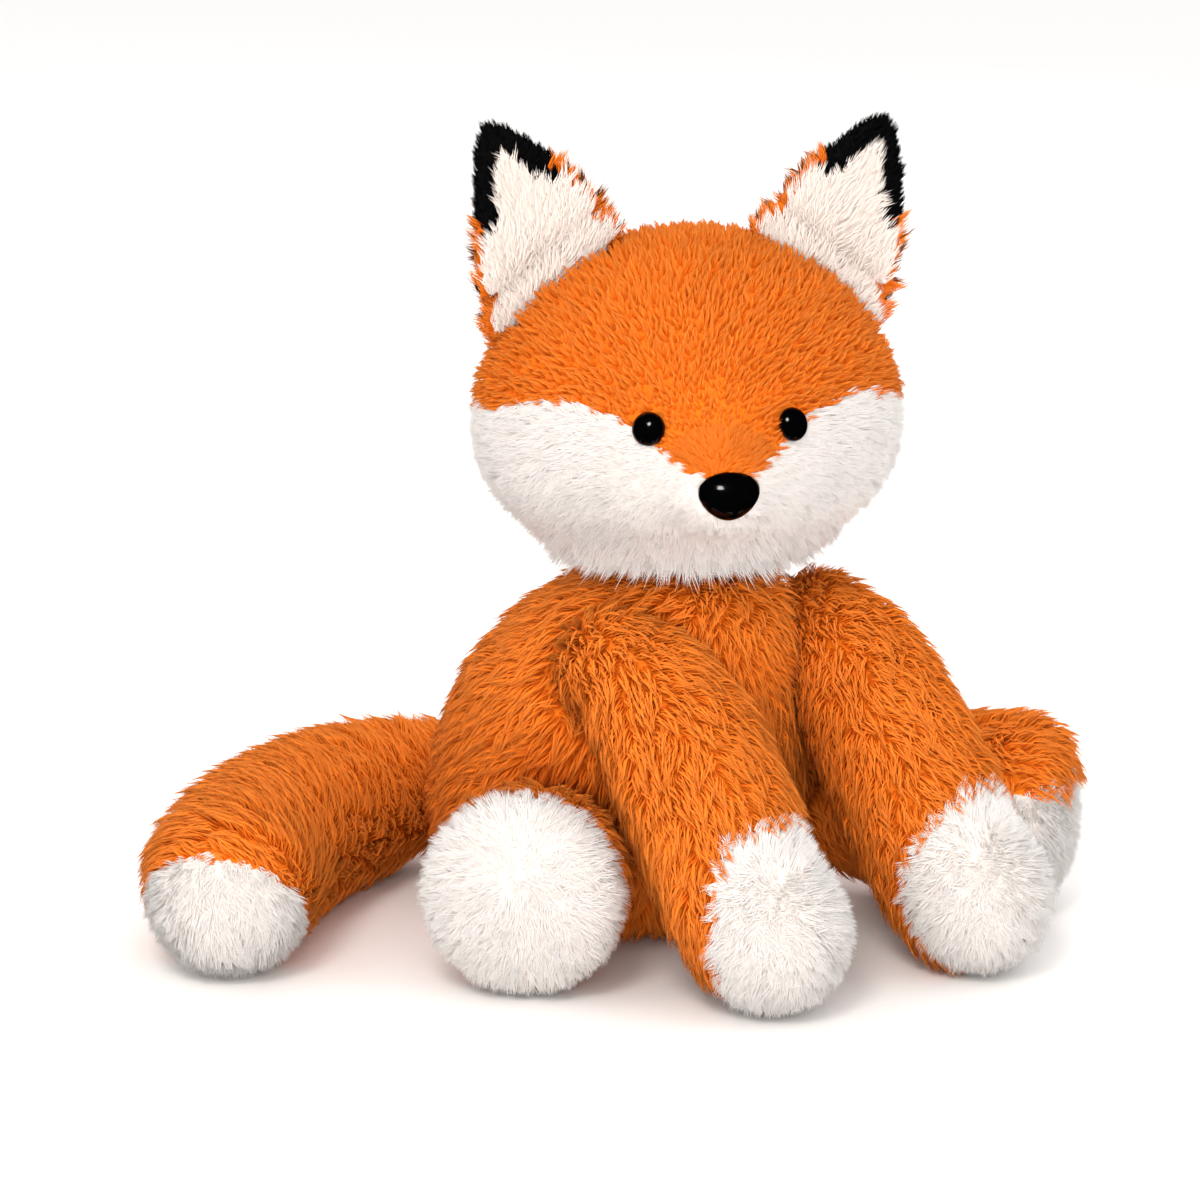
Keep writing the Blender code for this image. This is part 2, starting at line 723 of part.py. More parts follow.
def build_studs(home, pivot, crown, cheeks, filling, finishes):
    """Seat the eyes and the nose in the face, each with a washer behind the fabric."""
    across, up = EYE_SHARES
    eye = (EYE_RADIUS, EYE_BULGE, EYE_SINK, EYE_WASHER_SLACK)
    nose = (NOSE_HEIGHT / 2, NOSE_BULGE, NOSE_SINK, NOSE_WASHER_SLACK)
    places = (
        ("left_eye", (across, up), eye),
        ("right_eye", (-across, up), eye),
        ("nose", NOSE_SHARES, nose),
    )
    for name, shares, (radius, bulge, sink, slack) in places:
        place = home @ face_place(*shares, sink)
        front = sink - PILE - slack
        rear = front - WASHER_THICKNESS
        length = GAP - rear + 4 * SHANK_BARB
        bead = stud(radius, bulge, length)
        room = stud(radius, bulge, length, GAP)
        if name == "nose":
            bead = nose_shape(bead)
            room = nose_shape(room, GAP)
        make_object(name, bead, finishes["gloss"], pivot, place)
        hole = make_cutter(name + "_hole", room, pivot, place)
        for piece in (crown, *cheeks):
            cut(piece, hole)
        inner = SHANK_RADIUS + GAP
        outline = [(inner, front), (WASHER_RADIUS, front), (WASHER_RADIUS, rear), (inner, rear)]
        washer = turned(outline, SMALL_SEGMENTS, closed=True)
        make_object(name + "_washer", washer, finishes["washer"], pivot, place)
        wide = (WASHER_RADIUS + GAP) / math.cos(math.pi / SMALL_SEGMENTS)
        outline = [(0, OVERRUN), (wide, OVERRUN), (wide, -length - GAP), (0, -length - GAP)]
        pocket = turned(outline, SMALL_SEGMENTS)
        cut(filling, make_cutter(name + "_pocket", pocket, pivot, place))


def build_ear(name, side, home, head, crown, filling, finishes):
    """An ear that folds about the sewn roll along its foot."""
    across = EAR_OUT / (HEAD_WIDTH / 2)
    behind = EAR_SET_BACK / (HEAD_DEPTH / 2)
    top = head_point(Vector((across, behind, math.sqrt(1 - across**2 - behind**2))))
    slant = Matrix.Rotation(EAR_SLANT, 4, "Y")
    middle = top - slant.to_3x3() @ UP * EAR_SIT
    mirror = Matrix.Diagonal((side, 1.0, 1.0, 1.0))
    centre = home @ (mirror @ middle)
    ear = make_pivot(name + "_pivot", Matrix.Translation(centre), head)

    def placed(bm):
        bmesh.ops.transform(bm, matrix=mirror @ slant, verts=bm.verts)
        if side < 0:
            bmesh.ops.reverse_faces(bm, faces=bm.faces)
        return bm

    seam = UP * (EAR_LENGTH - EAR_TIP_LENGTH)
    back = keep_below(ear_back_form(), seam, UP)
    tip = keep_below(ear_back_form(), seam + UP * GAP, -UP)
    make_object(name + "_back", placed(back), finishes["orange"], ear)
    make_object(name + "_tip", placed(tip), finishes["black"], ear)
    make_object(name + "_lining", placed(ear_lining_form()), finishes["white"], ear)
    groove = (EAR_ROLL + GAP) / math.cos(math.pi / BALL_SEGMENTS)
    length = EAR_BASE_WIDTH / 2 + GAP
    outline = [(0, -length), (groove, -length), (groove, length), (0, length)]
    bm = turned(outline, BALL_SEGMENTS)
    bmesh.ops.transform(bm, matrix=Matrix.Rotation(math.pi / 2, 4, "Y"), verts=bm.verts)
    room = make_cutter(name + "_groove", placed(bm), ear)
    cut(crown, room)
    cut(filling, room)


def main():
    clear_scene()
    orange = material("orange fur fabric", ORANGE, 0.95)
    white = material("white fur fabric", WHITE, 0.95)
    black = material("black fur fabric", BLACK, 0.95)
    filling_fibre = material("polyester filling", FILLING, 0.95)
    thread = material("closing thread", THREAD, 0.80)
    gloss = material("black gloss plastic", BLACK, 0.12)
    washer = material("washer plastic", WASHER, 0.50)
    pellets = material("bagged pellets", PELLETS, 0.70)
    finishes = {
        "orange": orange,
        "white": white,
        "black": black,
        "filling": filling_fibre,
        "gloss": gloss,
        "washer": washer,
        "pellets": pellets,
    }
    panels, filling = build_torso(finishes)
    body = (*panels, filling)

    neck = make_pivot(
        "neck_pivot",
        Matrix.Translation(NECK_PIVOT) @ Matrix.Rotation(-HEAD_TURN, 4, "Z"),
    )
    stitch_ring("neck_stitching", neck, NECK_RADIUS, UP, NECK_STITCH_TURNS, thread)
    home, crown, cheeks, head_filling = build_head(neck, finishes)
    build_studs(home, neck, crown, cheeks, head_filling, finishes)
    for name, side in (("left_ear", 1), ("right_ear", -1)):
        build_ear(name, side, home, neck, crown, head_filling, finishes)

    limbs = (
        ("left_arm", arm(1, LEFT_PAW_SPREAD, LEFT_PAW_AHEAD), ("left_arm_sleeve", "left_paw",
                                               "left_arm_stuffing"), "left_shoulder"),
        ("right_arm", arm(-1, RIGHT_PAW_SPREAD, RIGHT_PAW_AHEAD), ("right_arm_sleeve", "right_paw",
                                                  "right_arm_stuffing"), "right_shoulder"),
        ("left_leg", leg(1, LEFT_LEG_TURN, LEFT_LEG_LENGTH),
         ("left_leg_sleeve", "left_foot", "left_leg_stuffing"), "left_hip"),
        ("right_leg", leg(-1, RIGHT_LEG_TURN, RIGHT_LEG_LENGTH),
         ("right_leg_sleeve", "right_foot", "right_leg_stuffing"), "right_hip"),
        ("tail", tail(), ("tail_sleeve", "tail_tip", "tail_stuffing"), "tail_root"),
    )
    for name, limb, names, joint in limbs:
        root = limb.points[0]
        pivot = make_pivot(joint + "_pivot", Matrix.Translation(root))
        build_limb(limb, pivot, names, (orange, white, filling_fibre))
        stitch_ring(joint + "_stitching", pivot, limb.radii[0], -limb.start, LIMB_STITCH_TURNS,
                    thread)
        hollow_room = socket_cutter(joint + "_hollow", root, limb.radii[0])
        lie_room = make_cutter(name + "_room", limb.form(-3 * GAP))
        for piece in body:
            cut(piece, hollow_room)
            cut(piece, lie_room)


main()
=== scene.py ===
"""Plush fox: the fur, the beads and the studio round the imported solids.

Each stuffed form gets one smooth knitted backing that lies inside its solids, and a coat of
pile locks for each of its fabrics. A lock is a small bundle of tapered strands. Its family
gives its real length, width and height, and the comb of its coat says which way it lies.
"""
import json
import math
from collections.abc import Callable
from dataclasses import dataclass

import bmesh
import bpy
import numpy as np
from mathutils import Matrix, Vector
from mathutils.bvhtree import BVHTree
from mathutils.kdtree import KDTree


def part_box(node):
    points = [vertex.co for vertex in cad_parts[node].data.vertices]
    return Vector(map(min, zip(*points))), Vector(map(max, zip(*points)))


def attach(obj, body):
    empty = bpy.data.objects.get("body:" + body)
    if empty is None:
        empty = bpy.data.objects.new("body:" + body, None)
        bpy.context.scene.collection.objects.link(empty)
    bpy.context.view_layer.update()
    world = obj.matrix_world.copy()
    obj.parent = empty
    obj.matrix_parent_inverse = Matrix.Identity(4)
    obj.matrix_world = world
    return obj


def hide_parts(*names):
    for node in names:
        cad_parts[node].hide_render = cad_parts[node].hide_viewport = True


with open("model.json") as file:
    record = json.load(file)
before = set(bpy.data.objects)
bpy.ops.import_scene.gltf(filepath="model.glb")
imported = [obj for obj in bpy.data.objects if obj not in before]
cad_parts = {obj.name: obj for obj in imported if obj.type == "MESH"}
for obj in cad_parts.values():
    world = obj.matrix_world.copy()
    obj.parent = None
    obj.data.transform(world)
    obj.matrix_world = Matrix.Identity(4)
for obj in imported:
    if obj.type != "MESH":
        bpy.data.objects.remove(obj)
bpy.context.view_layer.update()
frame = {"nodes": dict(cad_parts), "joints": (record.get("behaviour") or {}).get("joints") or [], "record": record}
MM = 0.001


@dataclass
class Family:
    """One kind of lock, with its sizes in millimetres."""

    reach: float  # along the fabric
    width: float
    rise: float  # over the fabric
    thickness: float  # of a strand
    bent: int  # strands with a bend half way
    straight: int
    closing: float  # how far the strands come together at their tips


FAMILIES = {
    "long": Family(7.4, 2.9, 3.9, 0.24, 5, 6, 0.75),
    "crown": Family(2.5, 1.5, 3.2, 0.18, 2, 7, 0.80),
    "wool": Family(2.5, 1.7, 3.1, 0.17, 0, 9, -0.05),
    "short": Family(2.2, 1.2, 1.5, 0.16, 0, 9, 0.25),
    "lining": Family(4.6, 1.8, 2.1, 0.16, 2, 7, 0.15),
}
VARIANTS = 6  # different locks of each family
SOFT_SHARE = 0.75  # how much each strand is lit as a part of its lock's rounded shape
LOCK_CROWN = 0.9  # how far the lock's sides turn away from the middle
LOCK_NOD = 0.9  # how far its tip turns forward
NOD_START = 0.4  # how far along it that turn begins
LEAN = 0.38  # how far over a strand already leans at its root
ARCH = 2.2  # how early on its way a strand has risen
STRAND_STRAY = 0.2  # how far its tip strays, as a share of the lock's width
STRAND_CURL = 0.22  # how far its middle bows sideways, as a share of the same
SHORTEST_STRAND = 0.68  # as a share of the longest
STRAND_PLACES = (0.55, 1.0)  # how far out from the lock's middle chance sets a strand
STRAND_GIRTHS = (0.85, 1.15)  # what chance makes of its thickness
FLOOR_GAP = 0.3 * MM  # between the floor and the pile that is pressed against it
FLOOR_GIVE = 0.02  # how much of its unevenness such pile keeps
DOWN = np.array((0.0, 0.0, -1.0))

JOINTS = {joint["name"]: joint for joint in frame["joints"]}


def pivot(joint):
    return np.array(JOINTS[joint]["pos_m"], float)


def middle(name):
    low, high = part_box(name)
    return np.array((low + high) / 2, float)


NECK = pivot("head_turn")
NOSE = middle("nose")
EYES = (middle("left_eye"), middle("right_eye"))
CHIN_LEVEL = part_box("left_cheek")[0].z + 12 * MM
NAPE_LEVEL = CHIN_LEVEL + 3 * MM
FRINGE_REACH = 14 * MM  # below the chin or the nape, over which the pile grows long
HANG_REACH = 9 * MM  # below them, over which the pile turns level
ELBOW_SHARE = 0.4  # how far along an arm its elbow is
ELBOW_RISE = 12 * MM  # and how far above the line from the shoulder to the paw


def arm_course(arm):
    """The shoulder of an arm, its elbow and the middle of its paw."""
    shoulder = pivot(arm + "_raise")
    paw = middle(arm.replace("arm", "paw"))
    elbow = shoulder * (1 - ELBOW_SHARE) + paw * ELBOW_SHARE + np.array((0, 0, ELBOW_RISE))
    return shoulder, elbow, paw


# Colours


def linear(code):
    """Linear colour of an sRGB hex code."""
    parts = [int(code[at:at + 2], 16) / 255 for at in (1, 3, 5)]
    curved = [c / 12.92 if c <= 0.04045 else ((c + 0.055) / 1.055) ** 2.4 for c in parts]
    return (*curved, 1.0)


def add(tree, kind, settings, inputs):
    """Add a node, set its properties, and set or link its inputs."""
    made = tree.nodes.new(kind)
    for name, value in settings.items():
        setattr(made, name, value)
    for name, value in inputs.items():
        if isinstance(value, bpy.types.NodeSocket):
            tree.links.new(value, made.inputs[name])
        else:
            made.inputs[name].default_value = value
    return made


def new_material(name, fixed):
    """A material whose shader has these fixed values."""
    made = bpy.data.materials.new(name)
    made.use_nodes = True
    shader = made.node_tree.nodes["Principled BSDF"]
    for socket, value in fixed.items():
        shader.inputs[socket].default_value = value
    return made, made.node_tree, shader


MIDDLE_PLACE = 0.42  # where between root and tip a strand has its middle colour


def brushed_pile(name, colours, spread, sheen=0.2):
    """Brushed polyester pile: deep colour at the roots as painted shade among the strands, pale and soft at the
    tips.

    The piece's own map gives the shade of each lock across and the way from root to tip up.
    The colours are those of the root, the middle and the tip, and the spread is how far the
    shade darkens and brightens them.
    """
    fixed = {"Roughness": 0.75, "IOR": 1.5, "Sheen Weight": sheen, "Sheen Roughness": 0.45,
             "Specular IOR Level": 0.1, "Sheen Tint": linear(colours[-1])}
    made, tree, shader = new_material(name, fixed)
    place = add(tree, "ShaderNodeUVMap", {"uv_map": "OFBake"}, {})
    split = add(tree, "ShaderNodeSeparateXYZ", {}, {"Vector": place.outputs["UV"]})
    # The deep root colour is painted shade down among the strands; the ramp pales it to the pile's own colour at
    # the middle and tip.
    painted_shades = add(tree, "ShaderNodeValToRGB", {}, {"Fac": split.outputs["Y"]})
    stops = painted_shades.color_ramp.elements
    stops[0].color = linear(colours[0])
    stops[1].color = linear(colours[2])
    between = stops.new(MIDDLE_PLACE)
    between.color = linear(colours[1])
    low, high = spread
    level = add(tree, "ShaderNodeMapRange", {},
                {"Value": split.outputs["X"], "To Min": low, "To Max": high})
    tinted = add(tree, "ShaderNodeHueSaturation", {},
                 {"Value": level.outputs["Result"], "Color": painted_shades.outputs["Color"]})
    tree.links.new(tinted.outputs["Color"], shader.inputs["Base Color"])
    return made


def grainy(name, painted_shade, pale, grain):
    """A matt surface of small loops, fibres or pellets, one grain apart, with painted shade between them."""
    made, tree, shader = new_material(name, {"Roughness": 0.9, "Specular IOR Level": 0.1})
    place = add(tree, "ShaderNodeTexCoord", {}, {})
    grains = add(tree, "ShaderNodeTexNoise", {},
                 {"Vector": place.outputs["Object"], "Scale": 1 / (grain * MM), "Detail": 2.0})
    # The deep colour is painted shade in the hollows of the grain, where the bump is low.
    painted_shades = add(tree, "ShaderNodeValToRGB", {}, {"Fac": grains.outputs["Fac"]})
    painted_shades.color_ramp.elements[0].color = linear(painted_shade)
    painted_shades.color_ramp.elements[1].color = linear(pale)
    tree.links.new(painted_shades.outputs["Color"], shader.inputs["Base Color"])
    bump = add(tree, "ShaderNodeBump", {},
               {"Height": grains.outputs["Fac"], "Strength": 0.5, "Distance": grain * MM / 2})
    tree.links.new(bump.outputs["Normal"], shader.inputs["Normal"])
    return made


def moulded(name, colour, roughness, grain, gloss):
    """Moulded plastic: one even colour, and a faint grain in its polish."""
    fixed = {"Base Color": linear(colour), "IOR": 1.5, "Specular IOR Level": gloss}
    made, tree, shader = new_material(name, fixed)
    place = add(tree, "ShaderNodeTexCoord", {}, {})
    marks = add(tree, "ShaderNodeTexNoise", {},
                {"Vector": place.outputs["Object"], "Scale": 1 / (grain * MM), "Detail": 3.0})
    low, high = roughness
    polish = add(tree, "ShaderNodeMapRange", {},
                 {"Value": marks.outputs["Fac"], "To Min": low, "To Max": high})
    tree.links.new(polish.outputs["Result"], shader.inputs["Roughness"])
    return made


# The first colour of each pile, at its roots, is painted shade among its strands.
ORANGE_PILE = brushed_pile("orange brushed polyester pile",
                           ("#D2570C", "#EC751C", "#F58C3A"), (0.80, 1.10))
WHITE_PILE = brushed_pile("white brushed polyester pile",
                          ("#EFE6E0", "#F6F0EC", "#FAF6F3"), (0.97, 1.02))
LINING_PILE = brushed_pile("ivory long polyester pile",
                           ("#EADACF", "#EFE2D9", "#F3E9E2"), (0.97, 1.02))
BLACK_PILE = brushed_pile("black brushed polyester pile",
                          ("#020203", "#060607", "#0E0E10"), (0.7, 1.3), 0.05)
ORANGE_KNIT = grainy("orange knitted polyester backing", "#DC6C14", "#EC7E20", 1.2)
# The white backing is darker than the white pile: painted shade where it shows between the roots.
WHITE_KNIT = grainy("white knitted polyester backing", "#DED4CC", "#EBE3DD", 1.2)
BLACK_KNIT = grainy("black knitted polyester backing", "#030304", "#0C0C0E", 1.2)
BEAD = moulded("black polished moulded ABS", "#020203", (0.09, 0.15), 2.0, 0.5)
WASHER = moulded("natural moulded polypropylene", "#D8D8D2", (0.4, 0.6), 1.0, 0.5)
FIBRE = grainy("white carded polyester fibre", "#CFCFCB", "#F2F2EE", 2.5)
THREAD = grainy("rust polyester sewing thread", "#C2520F", "#DE7024", 0.4)
PELLETS = grainy("bagged polyethylene pellets", "#6F8CA6", "#A9BDCD", 3.0)

KNITS = {"orange_fur_fabric": ORANGE_KNIT, "white_fur_fabric": WHITE_KNIT,
         "black_fur_fabric": BLACK_KNIT}
INNER = {"polyester_filling": FIBRE, "closing_thread": THREAD, "washer_plastic": WASHER,
         "pellet_bag": PELLETS, "gloss_black_plastic": BEAD}
SLOTS = {part["node"]: part["material_slot"] for part in frame["record"]["subparts"]}
BODIES = {node: body for body, nodes in frame["record"]["behaviour"]["bodies"].items()
          for node in nodes}


# Small helpers


def new_object(name, mesh, finish=None):
    obj = bpy.data.objects.new(name, mesh)
    bpy.context.scene.collection.objects.link(obj)
    if finish is not None:
        mesh.materials.append(finish)
    return obj


def settled(obj, name):
    """A new mesh of the object as its modifiers leave it; the object goes."""
    shown = obj.evaluated_get(bpy.context.evaluated_depsgraph_get())
    mesh = bpy.data.meshes.new_from_object(shown)
    mesh.name = name
    bpy.data.objects.remove(obj, do_unlink=True)
    return mesh


def modifier(obj, kind, **settings):
    made = obj.modifiers.new(kind.lower(), kind)
    for name, value in settings.items():
        setattr(made, name, value)
    return made


def read(layer, field, width=1):
    """The values of a layer, with one row for each element."""
    values = np.empty(len(layer) * width, np.float32)
    layer.foreach_get(field, values)
    return values.reshape(-1, width).astype(float)


def face_centres(mesh):
    return np.array([face.center for face in mesh.polygons])


def unit(vectors):
    length = np.linalg.norm(vectors, axis=1, keepdims=True)
    return vectors / np.maximum(length, 1e-9)


def flat_on(vectors, normals):
    """The part of each vector that lies along the surface, at length one."""
    return unit(vectors - normals * np.sum(vectors * normals, axis=1, keepdims=True))


def ramp(values, start, end):
    """From 0 at the start, or before it, to 1 at the end."""
    return np.clip((values - start) / (end - start), 0, 1)


def gap_to(place, points):
    return np.linalg.norm(points - place, axis=1)


def spots_tree(spots):
    tree = KDTree(len(spots))
    for number, spot in enumerate(spots):
        tree.insert(spot, number)
    tree.balance()
    return tree


def drift(points, wave, seed):
    """A smooth wandering field of small vectors, so that neighbouring locks lean alike."""
    rng = np.random.default_rng(seed)
    total = np.zeros_like(points)
    for _ in range(5):
        ways = rng.normal(size=(3, 3)) * math.tau / wave
        phases = rng.uniform(0, math.tau, 3)
        total += np.sin(points @ ways.T + phases)
    return total / 5


# Backings


def joined_copy(nodes, name):
    """One mesh of several CAD nodes, with its loose triangles merged."""
    bm = bmesh.new()
    for node in nodes:
        bm.from_mesh(frame["nodes"][node].data)
    bmesh.ops.remove_doubles(bm, verts=bm.verts, dist=MM / 1000)
    mesh = bpy.data.meshes.new(name)
    bm.to_mesh(mesh)
    bm.free()
    return mesh


def largest_island(bm):
    """Delete every loose shell but the largest."""
    left = set(bm.verts)
    islands = []
    while left:
        island = {left.pop()}
        edge_of = list(island)
        while edge_of:
            for edge in edge_of.pop().link_edges:
                for vert in edge.verts:
                    if vert in left:
                        left.remove(vert)
                        island.add(vert)
                        edge_of.append(vert)
        islands.append(island)
    keep = max(islands, key=len)
    bmesh.ops.delete(bm, geom=[v for v in bm.verts if v not in keep], context="VERTS")


SOLE_LEVEL = 0.8 * MM  # the backings stay above it
LAST_ROUNDS = 4  # of smoothing, once a backing is down at its depth


def backing(name, nodes, voxel, depth, rounds):
    """One smooth closed skin, a depth below the surface of the solids that it covers."""
    obj = new_object(name, joined_copy(nodes, name))
    modifier(obj, "REMESH", mode="VOXEL", voxel_size=voxel * MM)
    modifier(obj, "SMOOTH", factor=0.5, iterations=rounds)
    mesh = settled(obj, name)
    bm = bmesh.new()
    bm.from_mesh(mesh)
    largest_island(bm)
    bm.normal_update()
    for vert, normal in [(v, v.normal.copy()) for v in bm.verts]:
        vert.co -= normal * depth(np.array(vert.co)) * MM
    for _ in range(LAST_ROUNDS):
        bmesh.ops.smooth_vert(bm, verts=bm.verts, factor=0.5, use_axis_x=True,
                              use_axis_y=True, use_axis_z=True)
    for vert in bm.verts:
        vert.co.z = max(vert.co.z, SOLE_LEVEL)
    bm.normal_update()
    bm.to_mesh(mesh)
    bm.free()
    mesh.shade_smooth()
    return mesh


class Form:
    """A stuffed form: its backing, and which fabric covers each face of it."""

    def __init__(self, name, fabrics, voxel, depth, rounds):
        self.name = name
        self.body = name  # each form is one body, and has its name
        self.fabrics = fabrics
        stuffing = name + "_stuffing"
        filling = (stuffing,) if stuffing in frame["nodes"] else ()
        mesh = backing(name + "_backing", fabrics + filling, voxel, depth, rounds)
        mesh.calc_loop_triangles()
        self.mesh = mesh
        self.triangles = np.array([t.vertices for t in mesh.loop_triangles])
        self.faces = np.array([t.polygon_index for t in mesh.loop_triangles])
        self.points = read(mesh.vertices, "co", 3)
        self.normals = np.array([v.normal for v in mesh.vertices])
        self.zones = self.nearest_fabric()
        if name in PAINTS:
            PAINTS[name](self)
        self.add_backing()
        for node in filling:
            self.add_fibre(node)

    def nearest_fabric(self):
        """For each face, the fabric whose solid it lies nearest to."""
        trees = []
        for fabric in self.fabrics:
            bm = bmesh.new()
            bm.from_mesh(frame["nodes"][fabric].data)
            trees.append(BVHTree.FromBMesh(bm))
            bm.free()
        zones = []
        for face in self.mesh.polygons:
            gaps = [tree.find_nearest(face.center)[3] for tree in trees]
            zones.append(int(np.argmin(gaps)))
        return np.array(zones)

    def covered(self, fabric):
        """Which of the backing's triangles a fabric covers."""
        return self.zones[self.faces] == self.fabrics.index(fabric)

    def add_backing(self):
        """The backing as a piece, with the knitted side of its own fabric on each face."""
        obj = new_object(self.name + "_backing", self.mesh)
        kinds = list(dict.fromkeys(SLOTS[fabric] for fabric in self.fabrics))
        for kind in kinds:
            self.mesh.materials.append(KNITS[kind])
        indices = [kinds.index(SLOTS[self.fabrics[zone]]) for zone in self.zones]
        self.mesh.polygons.foreach_set("material_index", indices)
        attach(obj, self.body)

    def add_fibre(self, node):
        """The loose skin of the filling, in place of its solid."""
        fill = backing(node + "_fibre", (node,), voxel=3.0, depth=even(2.0), rounds=6)
        obj = new_object(node + "_fibre", fill, FIBRE)
        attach(obj, self.body)
        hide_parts(node)


def even(depth):
    """The same depth everywhere, in millimetres."""
    return lambda place: depth


HEAD_DEPTH = 1.5  # of the backing under the fur of the head, in millimetres
MUZZLE_RAISE = 3.2  # how much higher it is behind the nose, so that the muzzle reaches it
CROWN_DEPTH = 1.1  # how much deeper it is further out, where the pile is longer


def head_depth(place):
    """By the distance from the nose, both in millimetres."""
    away = np.linalg.norm(place - NOSE) / MM
    return HEAD_DEPTH - MUZZLE_RAISE * ramp(away, 15, 7) + CROWN_DEPTH * ramp(away, 12, 37)


FRONT_SHARE = 0.30  # how squarely a face of an ear looks forward to carry the lining
BLACK_BAND = 4.4 * MM  # how far the black of an ear's end shows on its front
EDGE_BAND = 1.8 * MM  # how far the orange of its back shows on its front
ROLL_REACH = 13.0 * MM  # round the middle of the roll at its foot, where no edge shows


def paint_ear(form):
    """The lining fills the front of an ear, inside a band of its black end and orange edge."""
    back, tip, lining = range(3)
    centres = face_centres(form.mesh)
    normals = np.array([face.normal for face in form.mesh.polygons])
    front = unit(normals[form.zones == lining].mean(0)[None])[0]
    form.zones[(form.zones == back) & (normals @ front > FRONT_SHARE)] = lining
    free = gap_to(pivot(form.name + "_fold"), centres) > ROLL_REACH
    for zone, band in ((back, EDGE_BAND), (tip, BLACK_BAND)):
        tree = spots_tree(centres[form.zones == zone])
        for index in np.flatnonzero((form.zones == lining) & free):
            if tree.find(centres[index])[2] < band:
                form.zones[index] = zone


RIGHTWARDS = np.array((0.788, -0.616, 0.0))  # to the right of the picture


def paint_paw(start, edge, bow, level):
    """The white of a paw covers the side turned to the picture's right; its heel is orange.

    It starts at a place along the forearm. Its edge lies furthest to the left at its own
    level and bows away from it above and below. All are in millimetres from the origin.
    """
    def paint(form):
        _, elbow, paw = arm_course(form.name)
        forearm = (paw - elbow) / np.linalg.norm(paw - elbow)
        centres = face_centres(form.mesh) / MM
        bowed = edge + bow * (centres[:, 2] - level) ** 2
        white = (centres @ forearm > start) & (centres @ RIGHTWARDS > bowed)
        form.zones[:] = np.where(white, 1, 0)
    return paint


FOOT_TOP = 34.0 * MM  # above it the orange of the left leg runs on over its foot


def paint_foot(form):
    form.zones[face_centres(form.mesh)[:, 2] > FOOT_TOP] = 0


TAIL_SEAM = np.array((-0.60, -0.50, -0.62))  # square to the slanted seam of the tail's white
TAIL_SEAM_PLACE = 49.7 * MM


def paint_tail(form):
    form.zones[:] = np.where(face_centres(form.mesh) @ TAIL_SEAM > TAIL_SEAM_PLACE, 1, 0)


PAINTS = {"right_arm": paint_paw(17.0, 20.4, 0.01, 22.0),
          "left_arm": paint_paw(26.5, 66.0, 0.033, 23.0),
          "left_leg": paint_foot, "tail": paint_tail,
          "left_ear": paint_ear, "right_ear": paint_ear}
FORMS = {}


def form_of(fabric):
    """The form that a fabric covers."""
    return next(form for form in FORMS.values() if fabric in form.fabrics)


def build_forms():
    """Each form by its fabrics, voxel and depth in millimetres, and rounds of smoothing."""
    plans = {"torso": (("chest_panel", "back_panel", "seat_panel"), 2.3, even(2.8), 20),
             "head": (("head_crown", "left_cheek", "right_cheek"), 1.9, head_depth, 16)}
    for side in ("left", "right"):
        arm, leg, ear = (side + "_" + limb for limb in ("arm", "leg", "ear"))
        plans[arm] = ((arm + "_sleeve", side + "_paw"), 2.0, even(2.5), 14)
        plans[leg] = ((leg + "_sleeve", side + "_foot"), 2.0, even(2.3), 14)
        plans[ear] = ((ear + "_back", ear + "_tip", ear + "_lining"), 0.9, even(0.5), 14)
    plans["tail"] = (("tail_sleeve", "tail_tip"), 2.1, even(2.6), 14)
    for name, plan in plans.items():
        FORMS[name] = Form(name, *plan)


# Locks of pile


